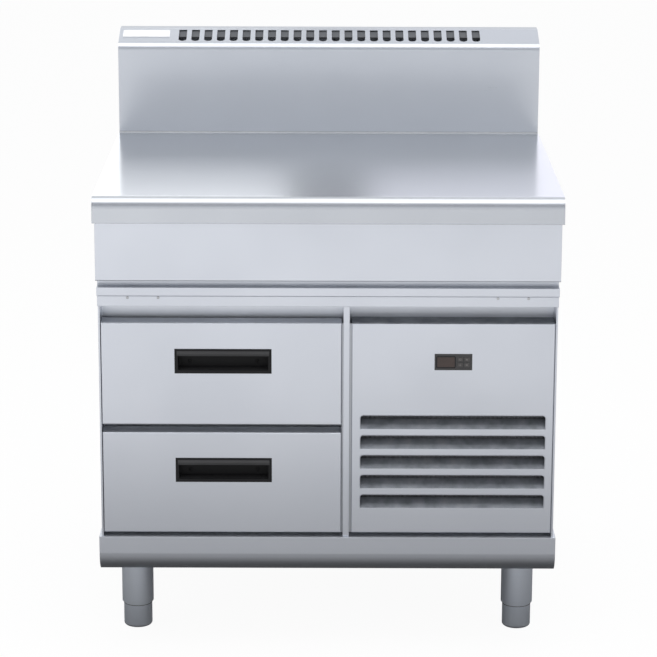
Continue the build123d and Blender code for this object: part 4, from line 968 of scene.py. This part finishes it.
def make_piece(name, forms, body, slot, rounding=0.0, finish=None):
    """Joins forms into one piece in metres, with its finish, its body and rounded edges."""
    mesh = bpy.data.meshes.new(name)
    shape = bmesh.new()
    for corners, faces in forms:
        made = [shape.verts.new(corner * mm) for corner in corners]
        for face in faces:
            shape.faces.new([made[index] for index in face])
    bmesh.ops.recalc_face_normals(shape, faces=shape.faces)
    shape.to_mesh(mesh)
    shape.free()
    mesh.materials.append(finish or finishes[slot])
    for polygon in mesh.polygons:
        polygon.use_smooth = True
    mesh.set_sharp_from_angle(angle=smooth_angle)
    piece = bpy.data.objects.new(name, mesh)
    scene.collection.objects.link(piece)
    if rounding:
        edge = piece.modifiers.new("rounded_edges", "BEVEL")
        edge.width = rounding * mm
        edge.segments = bevel_steps
        edge.limit_method = "ANGLE"
    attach(piece, body)
    print(name, "with", len(forms), "forms on", body)


# %% [markdown]
# ### The seal under the splashback
# Where the splashback meets the worktop a fitter runs a seam and wipes it hollow with a finger, so that water
# can't stand in the corner. A hollow quarter round, swept along the foot of the splashback, gives the light
# line that the corner shows.

# %% Seal bead
splash_low, splash_high = node_box("splashback")
seal_radius = 4.0
seal_bite = 0.2
seal_steps = 8
seal_section = [(-seal_bite, -seal_bite), (-seal_bite, seal_radius)]
for angle in angles(quarter, seal_steps):
    seal_section.append((seal_radius * (1 - math.cos(angle)), seal_radius * (1 - math.sin(angle))))
seal_section.append((seal_radius, -seal_bite))
seal_path = [(x, splash_low.y, worktop_top) for x in (splash_low.x, splash_high.x)]
seal_form = swept_form(seal_path, seal_section, (0, 0, 1))
seal_tones = ((0.36, 0.375, 0.4), (0.33, 0.345, 0.37))
sealant = moulded("grey_sealant", seal_tones, roughness=0.6, pebble_size=600.0, shine=0.25)
make_piece("splashback_foot_seal", [seal_form], "root", "seal_rubber", finish=sealant)

# %% [markdown]
# ### Rolled lips of the louvres
# The punch that opens a louvre leaves its upper and side edges rolled inwards. The roll turns the surface
# away from the room, which is why each opening has a soft dark outline. A quarter round with a short
# straight tail is swept up one side, round the corners, along the top and down the other side.

# %% Louvre lips
panel_low, panel_high = node_box("service_panel")
louvre_count = 5
louvre_from_left = 16.0
louvre_from_right = 14.0
louvre_from_foot = 51.0
louvre_step = 40.3
louvre_tall = 28.0
louvre_corner = 7.0
louvre_left = panel_low.x + louvre_from_left
louvre_right = panel_high.x - louvre_from_right
louvre_first = panel_low.z + louvre_from_foot
roll_radius = 1.6
roll_sheet = 0.7
roll_tail = 3.0
roll_steps = 4
roll_end = roll_radius + roll_tail
roll_section = []
for angle in angles(quarter, roll_steps):
    roll_section.append((-roll_radius * math.sin(angle), roll_radius * (1 - math.cos(angle))))
roll_section += [(-roll_radius, roll_end), (-roll_radius + roll_sheet, roll_end)]
roll_section += [(-roll_radius + roll_sheet, roll_radius), (roll_sheet / 2, roll_sheet)]
lip_forms = []
for louvre in range(louvre_count):
    foot = louvre_first + louvre_step * louvre
    path = arch_path(
        louvre_left, louvre_right, foot, foot + louvre_tall, louvre_corner, lambda x, z: (x, panel_low.y, z)
    )
    lip_forms.append(swept_form(path, roll_section, (0, 1, 0)))
make_piece("louvre_lips", lip_forms, "root", "stainless_panel")

# %% [markdown]
# ### Strips in the upright seams
# The seams beside the post don't look black, because a narrow steel strip lies in each of them, a little
# behind the fronts, and its darker tone is painted shade for the seam. The one beside the drawers stays half
# a millimetre clear of them, so that they can slide. Each strip is a section with cut front corners, swept up
# the height of the fronts.

# %% Seam strips
post_low, post_high = node_box("mullion_post")
drawer_edge = node_box("upper_drawer_front")[1].x
side_edge = node_box("right_side_panel")[1].x
drawer_clearance = 0.5
hem_width = 3.5
strip_recess = 2.0
strip_deep = 4.0
strip_corner = 0.4
strip_end = 0.5
strip_front = panel_low.y + strip_recess
strip_rear = strip_front + strip_deep
strip_path = [(0, 0, z) for z in (panel_low.z + strip_end, panel_high.z - strip_end)]
strip_forms = []
for seam_left, seam_right in (
    (drawer_edge + drawer_clearance, post_low.x),
    (post_high.x, panel_low.x),
    (panel_high.x, side_edge - hem_width),
):
    strip_section = [
        (-seam_left, strip_front + strip_corner),
        (-seam_left - strip_corner, strip_front),
        (-seam_right + strip_corner, strip_front),
        (-seam_right, strip_front + strip_corner),
        (-seam_right, strip_rear),
        (-seam_left, strip_rear),
    ]
    strip_forms.append(swept_form(strip_path, strip_section, (0, 1, 0)))
# Painted shade: the strips are darker than the fronts, for the shade in the seams
seam_shade_tones = ((0.47, 0.49, 0.525), (0.44, 0.46, 0.495))
seam_shade_metal = sheet_metal("seam_shade_metal", seam_shade_tones, roughness=0.34, stretch=grain_along_z)
make_piece("seam_strips", strip_forms, "root", "stainless_panel", finish=seam_shade_metal)

# %% [markdown]
# ### The filter behind the louvres
# The condenser draws its air through a pleated filter that slides in a thin frame behind the louvres, and
# that is what the narrow dark gap over each blade shows. The pleats are one zigzag section swept upwards,
# and the frame is a loop with a flat section.

# %% Condenser filter
filter_behind = 20.0
filter_deep = 13.0
filter_aside = 4.0
filter_under = 6.0
filter_over = 7.0
filter_front = panel_low.y + filter_behind
filter_left = louvre_left - filter_aside
filter_right = louvre_right + filter_aside
filter_foot = louvre_first - filter_under
filter_top = louvre_first + (louvre_count - 1) * louvre_step + louvre_tall + filter_over
pleat_count = 40
pleat_depth = 2.4
pleat_sheet = 1.6
pleat_inset = 3.0
pleat_front = filter_front + pleat_inset
pleat_half = (filter_right - filter_left) / (2 * pleat_count)
zigzag = [
    (-filter_left - pleat_half * step, pleat_front + pleat_depth * (step % 2))
    for step in range(2 * pleat_count + 1)
]
pleat_section = zigzag + [(sideways, depth + pleat_sheet) for sideways, depth in reversed(zigzag)]
pleats = swept_form([(0, 0, filter_foot), (0, 0, filter_top)], pleat_section, (0, 1, 0))
foam_tones = ((0.17, 0.175, 0.185), (0.13, 0.135, 0.145))
foam_skin = dict(pebble_size=500.0, bump_depth=foam_depth)
filter_foam = moulded("filter_foam", foam_tones, roughness=0.85, shine=0.1, **foam_skin)
make_piece("condenser_filter", [pleats], "root", "foam_core", finish=filter_foam)

# %% Frame of the filter
rail_half = 1.0
rail_section = [(-rail_half, 0), (rail_half, 0), (rail_half, filter_deep), (-rail_half, filter_deep)]
filter_loop = [(filter_left, filter_front, filter_foot), (filter_right, filter_front, filter_foot)]
filter_loop += [(filter_right, filter_front, filter_top), (filter_left, filter_front, filter_top)]
filter_frame = swept_form(filter_loop, rail_section, (0, 1, 0), closed=True)
make_piece("condenser_filter_frame", [filter_frame], "root", "zinc_sheet")

# %% [markdown]
# ### Behind the slots of the splashback
# Through each vent slot a grey strip shows above a dark one. A painted baffle lies close under the upper half
# of the slope and keeps spills out of the flue, and air goes out under its front edge. It is one folded sheet
# that runs the whole length inside the splashback. The bare plate lies on the slope, so its largest face that
# looks up and forward gives the slope's direction.

# %% Direction of the slope
steepest_up = 0.5
plate_mesh = nodes["blank_badge"].data
slope_up = max(plate_mesh.polygons, key=lambda face: face.area * (face.normal.z > steepest_up)).normal.copy()
slope_along = slope_up.cross(Vector((1, 0, 0))).normalized()
plate_points = [vertex.co / mm for vertex in plate_mesh.vertices]
slope_level = min(point.dot(slope_up) for point in plate_points)
slope_edge = Vector((0, (slope_level - splash_high.z * slope_up.z) / slope_up.y, splash_high.z))
print("the slope rises", round(math.degrees(math.acos(slope_up.z)), 1), "degrees")

# %% Vent baffle
baffle_sheet = 1.2
baffle_gap = 12.0
baffle_depth = 3.6
baffle_over = 6.0
baffle_down = 32.0
baffle_hem = 4.0
baffle_flange = 14.0


def slope_point(down, depth):
    """Returns the section point that lies down from the slope's edge and under its surface."""
    point = slope_edge - slope_along * down - slope_up * depth
    return -point.y, point.z


flange_top = slope_point(-baffle_over, baffle_depth)
baffle_section = [
    slope_point(baffle_down, baffle_depth),
    flange_top,
    (flange_top[0], flange_top[1] - baffle_flange),
    (flange_top[0] + baffle_sheet, flange_top[1] - baffle_flange),
    slope_point(baffle_sheet - baffle_over, baffle_depth + baffle_sheet),
    slope_point(baffle_down - baffle_sheet, baffle_depth + baffle_sheet),
    slope_point(baffle_down - baffle_sheet, baffle_depth + baffle_hem),
    slope_point(baffle_down, baffle_depth + baffle_hem),
]
baffle_path = [(x, 0, 0) for x in (splash_low.x + baffle_gap, splash_high.x - baffle_gap)]
baffle_form = swept_form(baffle_path, baffle_section, (0, 0, 1))
baffle_tones = ((0.105, 0.11, 0.12), (0.085, 0.09, 0.1))
baffle_paint = moulded("baffle_paint", baffle_tones, roughness=0.6, shine=0.3)
make_piece("vent_baffle", [baffle_form], "root", "zinc_sheet", finish=baffle_paint)

# %% [markdown]
# ### Rim of the bare plate
# The plate at the end of the slope is left bare, and its edge is coined into a thin raised rim: a loop with a
# narrow section, swept round the plate's outer face a little inside its edge.

# %% Plate rim
rim_inset = 1.1
rim_half = 0.7
rim_height = 0.35
plate_top = max(point.dot(slope_up) for point in plate_points)
plate_xs = [point.x for point in plate_points]
plate_runs = [point.dot(slope_along) for point in plate_points]
rim_left, rim_right = min(plate_xs) + rim_inset, max(plate_xs) - rim_inset
rim_foot, rim_head = min(plate_runs) + rim_inset, max(plate_runs) - rim_inset
rim_corners = [
    Vector((x, 0, 0)) + slope_along * run + slope_up * plate_top
    for x, run in ((rim_left, rim_foot), (rim_right, rim_foot), (rim_right, rim_head), (rim_left, rim_head))
]
rim_section = [(-rim_half, -rim_half), (rim_half, -rim_half)]
rim_section += [(rim_half / 2, rim_height), (-rim_half / 2, rim_height)]
rim_form = swept_form(rim_corners, rim_section, slope_up, closed=True)
make_piece("plate_rim", [rim_form], "root", "blank_plate")

# %% [markdown]
# ### Screws
# Hidden sides are closed with flanged hex screws, which a socket can hold. One is a turned flange with a
# dished six-sided head on it. The same helper serves the rear panel, the cover of the splashback and the
# plates of the legs, because a form turned in six steps is already a hexagon.

# %% One hex screw
flange_share = 0.72
flange_top_share = 0.6
flange_edge = 0.3
flange_tall = 0.9
head_start = 0.4
crown_share = 0.42
dish_share = 0.3
dish_depth = 0.5
hex_turn = math.radians(15.0)


def hex_screw(place, axis, head=8.0, tall=3.4):
    """Returns the forms of a flanged hex screw that stands on a surface."""
    flange = [(0, -sink), (head * flange_share, -sink), (head * flange_share, flange_edge)]
    flange += [(head * flange_top_share, flange_tall), (0, flange_tall)]
    hexagon = [(0, head_start), (head / 2, head_start), (head / 2, tall - dish_depth)]
    hexagon += [(head * crown_share, tall), (head * dish_share, tall), (0, tall - dish_depth)]
    flange_form = turned_form(flange, place, axis, steps=24)
    head_form = turned_form(hexagon, place, axis, steps=6, turn=hex_turn)
    return [flange_form, head_form]


# %% Screws of the rear panel and of the splashback's cover
rear_low, rear_high = node_box("rear_panel")
cover_low, cover_high = node_box("splashback_back_cover")
rear_inset = 9.0
rear_step = 222.0
cover_inset = 12.0
cover_step = 210.0
rear_x = (rear_low.x + rear_inset, rear_high.x - rear_inset)
rear_z = (rear_low.z + rear_inset, rear_high.z - rear_inset)
cover_z = (cover_low.z + cover_inset, cover_high.z - cover_inset)
screw_places = [(x, rear_high.y, z) for x in rear_x for z in (*rear_z, sum(rear_z) / 2)]
screw_places += [(rear_step * count, rear_high.y, z) for count in (-1, 0, 1) for z in rear_z]
screw_places += [(cover_step * count, cover_high.y, z) for count in (-2, -1, 0, 1, 2) for z in cover_z]
rear_screws = [form for place in screw_places for form in hex_screw(place, (0, 1, 0))]
make_piece("rear_screw_heads", rear_screws, "root", "stainless_screw")

# %% Bolts of the leg plates
leg_plate = 3.0
bolt_offset = 36.0
bolt_head = 9.0
bolt_tall = 4.5
plate_under = node_box("leg_tubes")[1].z - leg_plate


def four_places(middle, aside, along, z):
    """Returns four places round a middle at one height."""
    return [(middle.x + side * aside, middle.y + end * along, z) for side in (-1, 1) for end in (-1, 1)]


leg_bolts = []
for foot_name in foot_names:
    for place in four_places(node_middle(foot_name), bolt_offset, bolt_offset, plate_under):
        leg_bolts += hex_screw(place, (0, 0, -1), bolt_head, bolt_tall)
make_piece("leg_plate_bolts", leg_bolts, "root", "stainless_screw")

# %% [markdown]
# ### Marks on the keys
# Each key has a small printed sign, raised by the thickness of the ink: a ring for set, a triangle for up, a
# crossed star for defrost and a triangle for down. They ride on their keys and go in with them.

# %% Key signs
sign_size = 1.7
ink_depth = 0.12
ring_share = 0.68
arrow_share = 0.7
bar_share = 0.13
bar_count = 3
ring_inside = sign_size * ring_share
arrow_foot = sign_size * arrow_share
bar_half = sign_size * bar_share


def key_front(name):
    """Returns the middle of a key's front."""
    middle = node_middle(name)
    return Vector((middle.x, node_box(name)[0].y, middle.z))


def flat_sign(corners, place):
    """Returns a flat form from its outline in the plane of the keys."""
    count = len(corners)
    front = [place + Vector((x, -ink_depth, z)) for x, z in corners]
    rear = [place + Vector((x, ink_depth, z)) for x, z in corners]
    faces = [tuple(range(count)), tuple(reversed(range(count, 2 * count)))]
    faces += [(i, (i + 1) % count, count + (i + 1) % count, count + i) for i in range(count)]
    return front + rear, faces


def bar_corners(angle):
    """Returns the outline of a bar that is turned in the plane."""
    outline = ((-sign_size, -bar_half), (sign_size, -bar_half), (sign_size, bar_half), (-sign_size, bar_half))
    return [tuple(Matrix.Rotation(angle, 2) @ Vector(corner)) for corner in outline]


ring_profile = [(sign_size, -ink_depth), (sign_size, ink_depth)]
ring_profile += [(ring_inside, ink_depth), (ring_inside, -ink_depth)]
arrow = [(-sign_size, -arrow_foot), (sign_size, -arrow_foot), (0, sign_size)]
star_turns = [math.pi * bar / bar_count for bar in range(bar_count)]
key_signs = {
    "set_key": [turned_form(ring_profile, key_front("set_key"), (0, 1, 0), steps=24, ring=True)],
    "up_key": [flat_sign(arrow, key_front("up_key"))],
    "defrost_key": [flat_sign(bar_corners(turn), key_front("defrost_key")) for turn in star_turns],
    "down_key": [flat_sign([(x, -z) for x, z in reversed(arrow)], key_front("down_key"))],
}
key_print = moulded("key_print", ((0.2, 0.19, 0.185), (0.16, 0.15, 0.148)), roughness=0.5)
for key_name, forms in key_signs.items():
    make_piece(key_name + "_sign", forms, key_name, "key_cap", finish=key_print)

# %% [markdown]
# ### Frame of the display
# The window sits in a thin frame of the housing. A loop with a bevelled section is swept round it.

# %% Display frame
window_low, window_high = node_box("controller_window")
housing_front = node_box("controller_housing")[0].y
frame_gap = Vector((1.0, 0, 1.0))
frame_half = 0.9
frame_proud = 0.45
frame_sink = 0.2
frame_corner = 1.5
frame_section = [(-frame_half, frame_sink), (frame_half, frame_sink)]
frame_section += [(frame_half / 2, -frame_proud), (-frame_half / 2, -frame_proud)]
display_loop = rounded_loop(window_low - frame_gap, window_high + frame_gap, frame_corner, housing_front)
display_form = swept_form(display_loop, frame_section, (0, 1, 0), closed=True)
make_piece("display_frame", [display_form], "root", "black_grip")

# %% [markdown]
# ## Inside the drawers
# The drawers open, so what they show then is finished too. Both are alike, so every fitting is made in a loop
# over the two bodies, from the boxes of the drawer's own nodes.

# %% Boxes of both drawers
drawers = {}
for body in ("upper_drawer", "lower_drawer"):
    drawers[body] = {part: node_box(body + "_" + part) for part in ("tray", "core", "gasket", "handle")}
wall_inset = 6.0
tray_metal = 1.2
print("drawers:", list(drawers))

# %% [markdown]
# ### Beads, rim and rivets of the tray
# A flat sheet floor would drum and sag, so beads are pressed into it from front to back. The rim of the tray
# is rolled round a wire, and rivets hold the walls to the slides. Beads and rim are swept, rivets turned.

# %% Tray beads
bead_half = 5.0
bead_tall = 1.4
bead_end = 40.0
bead_shares = (0.14, 0.38, 0.62, 0.86)
shoulder_share = 0.6
shoulder_tall_share = 0.7
bead_edge = bead_half * shoulder_share
bead_shoulder = bead_tall * shoulder_tall_share
bead_section = [(-bead_half, -sink), (-bead_edge, bead_shoulder), (0, bead_tall)]
bead_section += [(bead_edge, bead_shoulder), (bead_half, -sink)]
for body, boxes in drawers.items():
    tray_low, tray_high = boxes["tray"]
    bead_y = (boxes["core"][1].y + bead_end, tray_high.y - bead_end)
    beads = []
    for share in bead_shares:
        x = tray_low.x + wall_inset + (tray_high.x - tray_low.x - 2 * wall_inset) * share
        beads.append(swept_form([(x, y, tray_low.z + tray_metal) for y in bead_y], bead_section, (0, 0, 1)))
    make_piece(body + "_tray_beads", beads, body, "stainless_inner", rounding=0.6)

# %% Tray rims
rim_wire = 1.1
rim_middle = 0.6
rim_start = 1.0
rim_corner = 11.4
for body, boxes in drawers.items():
    tray_low, tray_high = boxes["tray"]
    path = arch_path(
        tray_low.x + wall_inset + rim_middle,
        tray_high.x - wall_inset - rim_middle,
        boxes["core"][1].y + rim_start,
        tray_high.y - rim_middle,
        rim_corner,
        lambda x, y: (x, y, tray_high.z - sink),
    )
    rim = swept_form(path, round_section(rim_wire, steps=8), (0, 0, 1))
    make_piece(body + "_tray_rim", [rim], body, "stainless_inner")

# %% Tray rivets
rivet_profile = [(0, -0.2), (3.2, -0.2), (3.2, 0.4), (2.2, 1.2), (0, 1.5)]
rivet_rows = (-270.0, -60.0, 140.0)
rivet_lift = 28.0
for body, boxes in drawers.items():
    tray_low, tray_high = boxes["tray"]
    wall = wall_inset + tray_metal
    rivets = [
        turned_form(rivet_profile, (x, y, tray_low.z + rivet_lift), (side, 0, 0), steps=16)
        for side, x in ((1, tray_low.x + wall), (-1, tray_high.x - wall))
        for y in rivet_rows
    ]
    make_piece(body + "_tray_rivets", rivets, body, "stainless_screw")

# %% [markdown]
# ### Lips of the gasket
# A magnetic gasket has soft folds along its sides, which press flat when the drawer shuts. Two round lips,
# swept round the gasket at different depths, show them.

# %% Gasket lips
lip_depths = (3.2, 7.4)
lip_corner = 3.0
lip_wire = 0.9
for body, boxes in drawers.items():
    gasket_low, gasket_high = boxes["gasket"]
    loops = [rounded_loop(gasket_low, gasket_high, lip_corner, gasket_low.y + depth) for depth in lip_depths]
    lips = [swept_form(loop, round_section(lip_wire, steps=8), (0, 1, 0), closed=True) for loop in loops]
    make_piece(body + "_gasket_lips", lips, body, "seal_rubber")

# %% [markdown]
# ### Fittings of the handle
# The handle is a black pocket for the fingers. Its floor has ribs for grip, two pan-head screws hold it from
# the inside, and its upper edge carries a rounded lip in a lighter, shinier black, which is a painted
# highlight.

# %% Handle ribs
pocket_inset = 6.5
rib_first = 7.0
rib_step = 5.0
rib_count = 4
rib_foot = 0.8
rib_top = 0.4
rib_tall = 0.8
rib_section = [(-rib_foot, -sink), (rib_foot, -sink), (rib_top, rib_tall), (-rib_top, rib_tall)]
for body, boxes in drawers.items():
    handle_low, handle_high = boxes["handle"]
    rib_x = (handle_low.x + pocket_inset - sink, handle_high.x - pocket_inset + sink)
    ribs = []
    for rib in range(rib_count):
        y = handle_low.y + rib_first + rib_step * rib
        ribs.append(swept_form([(x, y, handle_low.z + pocket_inset) for x in rib_x], rib_section, (0, 0, 1)))
    make_piece(body + "_handle_ribs", ribs, body, "black_grip")

# %% Handle screws
pan_profile = [(0, -sink), (3.6, -sink), (3.6, 0.5), (2.8, 1.5), (1.4, 1.9), (1.2, 0.9), (0, 0.9)]
pan_from_wall = 22.0
pan_from_floor = 12.0
pocket_wall = 3.0
pan_inset = pocket_inset + pan_from_wall
pan_lift = pocket_inset + pan_from_floor
for body, boxes in drawers.items():
    handle_low, handle_high = boxes["handle"]
    pan_screws = []
    for x in (handle_low.x + pan_inset, handle_high.x - pan_inset):
        place = (x, handle_high.y - pocket_wall, handle_low.z + pan_lift)
        pan_screws.append(turned_form(pan_profile, place, (0, -1, 0), steps=20))
    make_piece(body + "_handle_screws", pan_screws, body, "black_grip")

# %% Handle lips
lip_proud = 1.1
lip_tall = 9.6
lip_under = 4.2
lip_overlap = 2.0
lip_steps = 8
lip_inset = pocket_inset - lip_overlap
lip_section = [
    (lip_proud * math.sin(angle), lip_tall * step / lip_steps)
    for step, angle in enumerate(angles(math.pi, lip_steps))
]
lip_section += [(-sink, lip_tall), (-sink, 0)]
# Painted highlight: the lip is a lighter, shinier copy of the black grip
lip_highlight_plastic = moulded("lip_highlight_plastic", ((0.038, 0.038, 0.04), (0.031, 0.031, 0.033)), roughness=0.42)
for body, boxes in drawers.items():
    handle_low, handle_high = boxes["handle"]
    lip_x = (handle_low.x + lip_inset, handle_high.x - lip_inset)
    path = [(x, handle_low.y, handle_high.z - lip_under - lip_tall) for x in lip_x]
    lip = swept_form(path, lip_section, (0, 0, 1))
    make_piece(body + "_handle_lip", [lip], body, "black_grip", finish=lip_highlight_plastic)

# %% [markdown]
# ## The cold side and the machine side
# Wire guards keep fingers out of both fans. A guard is a set of rings on a few spokes, all of drawn wire, so
# every wire is a round section swept along a circle or a line.

# %% Wire guards
ring_step = 16.0
ring_steps = 48


def wire_guard(name, centre, ring_first, ring_count, spoke_ends, spoke_count, wire):
    """Makes rings of wire on spokes in the plane that a fan blows through."""
    section = round_section(wire, steps=6)
    forms = []
    for ring in range(ring_count):
        radius = ring_first + ring_step * ring
        circle = arc_points(centre, (radius, 0, 0), (0, 0, radius), 4 * quarter, ring_steps)[:-1]
        forms.append(swept_form(circle, section, (0, 1, 0), closed=True))
    for spoke in range(spoke_count):
        angle = math.pi * (2 * spoke + 1) / spoke_count
        outward = Vector((math.cos(angle), 0, math.sin(angle)))
        ends = [centre + outward * reach for reach in spoke_ends]
        forms.append(swept_form(ends, section, (0, 1, 0)))
    make_piece(name, forms, "root", "zinc_sheet")


cold_gap = 1.1
warm_gap = 2.5
cold_guard = node_middle("evaporator_motor")
cold_guard.y = node_box("evaporator_cover")[0].y - cold_gap
warm_guard = node_middle("condenser_shroud")
warm_guard.y = node_box("condenser_shroud")[1].y + warm_gap
cold_wires = dict(ring_first=14.0, ring_count=5, spoke_ends=(14.0, 86.0), spoke_count=6, wire=1.0)
warm_wires = dict(ring_first=50.0, ring_count=4, spoke_ends=(48.0, 104.0), spoke_count=8, wire=1.1)
wire_guard("evaporator_guard", cold_guard, **cold_wires)
wire_guard("condenser_guard", warm_guard, **warm_wires)

# %% [markdown]
# ### Return bends of the coils
# Both coils are one long copper pipe that turns back at each end. The turns are half circles with a round
# section: they join the two columns at one end and neighbouring rows at the other.

# %% Return bends
bend_steps = 12


def return_bends(name, node, columns, rows, tube):
    """Makes half circles that join the pipe ends of a coil, across at one end and upright at the other."""
    low, high = node_box(node)
    half_column = (high.y - low.y) / columns / 2
    half_row = (high.z - low.z) / rows / 2
    section = round_section(tube)
    forms = []
    for row in range(rows):
        middle = (low.x, (low.y + high.y) / 2, low.z + half_row * (2 * row + 1))
        bend = arc_points(middle, (0, half_column, 0), (-half_column, 0, 0), math.pi, bend_steps)
        forms.append(swept_form(bend, section, (0, 0, 1)))
    for column in range(columns):
        y = low.y + half_column * (2 * column + 1)
        for row in range(column % 2, rows - 1, 2):
            middle = (high.x, y, low.z + half_row * 2 * (row + 1))
            bend = arc_points(middle, (0, 0, half_row), (half_row, 0, 0), math.pi, bend_steps)
            forms.append(swept_form(bend, section, (0, 1, 0)))
    make_piece(name, forms, "root", "pipe_copper")


return_bends("evaporator_bends", "evaporator_coil", columns=2, rows=6, tube=4.8)
return_bends("condenser_bends", "condenser_coil", columns=2, rows=7, tube=4.6)

# %% [markdown]
# ### Compressor
# The compressor's pot is two pressed halves with a weld all round, and it stands on four rubber grommets so
# that its hum doesn't reach the cabinet. The weld is a ring and the grommets are turned.

# %% Compressor seam and grommets
pot_low, pot_high = node_box("compressor")
pot_radius = 80.0
pot_middle = Vector((node_middle("compressor").x, pot_high.y - pot_radius, 0))
seam_lift = 112.0
seam_outline = [(-0.5, 0.0), (2.2, 0.6), (2.8, 2.0), (2.2, 3.4), (-0.5, 4.0)]
seam_profile = [(pot_radius + proud, up) for proud, up in seam_outline]
seam_place = (pot_middle.x, pot_middle.y, pot_low.z + seam_lift)
seam = turned_form(seam_profile, seam_place, (0, 0, 1), steps=72, ring=True)
make_piece("compressor_seam", [seam], "root", "compressor_paint")

grommet_aside = 90.0
grommet_along = 60.0
grommet_lift = 18.0
grommet = [(0, 0), (11.0, 0), (12.0, 2.0), (11.0, 4.0), (8.5, 5.0)]
grommet += [(8.5, 8.0), (10.0, 9.0), (9.0, 11.0), (0, 11.0)]
grommet_places = four_places(pot_middle, grommet_aside, grommet_along, pot_low.z + grommet_lift)
grommets = [turned_form(grommet, place, (0, 0, 1), steps=20) for place in grommet_places]
make_piece("compressor_grommets", grommets, "root", "seal_rubber")

# %% [markdown]
# ### Cable gland
# The mains cable comes in through a gland at the back, and the record gives its place. It is a domed cap that
# is turned, with round ribs swept along its edge so that fingers can tighten it.

# %% Cable gland
gland_mount = next(mount for mount in frame["record"]["mounts"] if mount["name"] == "mains_gland")
gland_middle = Vector(gland_mount["pos_m"]) / mm
dome = [(0, -1.0), (11.5, -1.0), (11.5, 1.2), (10.0, 3.4), (7.5, 4.6), (5.4, 5.0), (5.0, 3.0), (0, 3.0)]
rib_circle = 13.8
rib_wire = 0.9
rib_ends = (-5.4, -0.6)
gland_ribs = 18
gland_forms = [turned_form(dome, gland_middle, (0, 1, 0))]
for angle in angles(4 * quarter, gland_ribs)[:-1]:
    outward = Vector((math.cos(angle), 0, math.sin(angle)))
    ends = [gland_middle + outward * rib_circle + Vector((0, depth, 0)) for depth in rib_ends]
    gland_forms.append(swept_form(ends, round_section(rib_wire, steps=6), outward))
make_piece("gland_nut", gland_forms, "root", "black_grip")
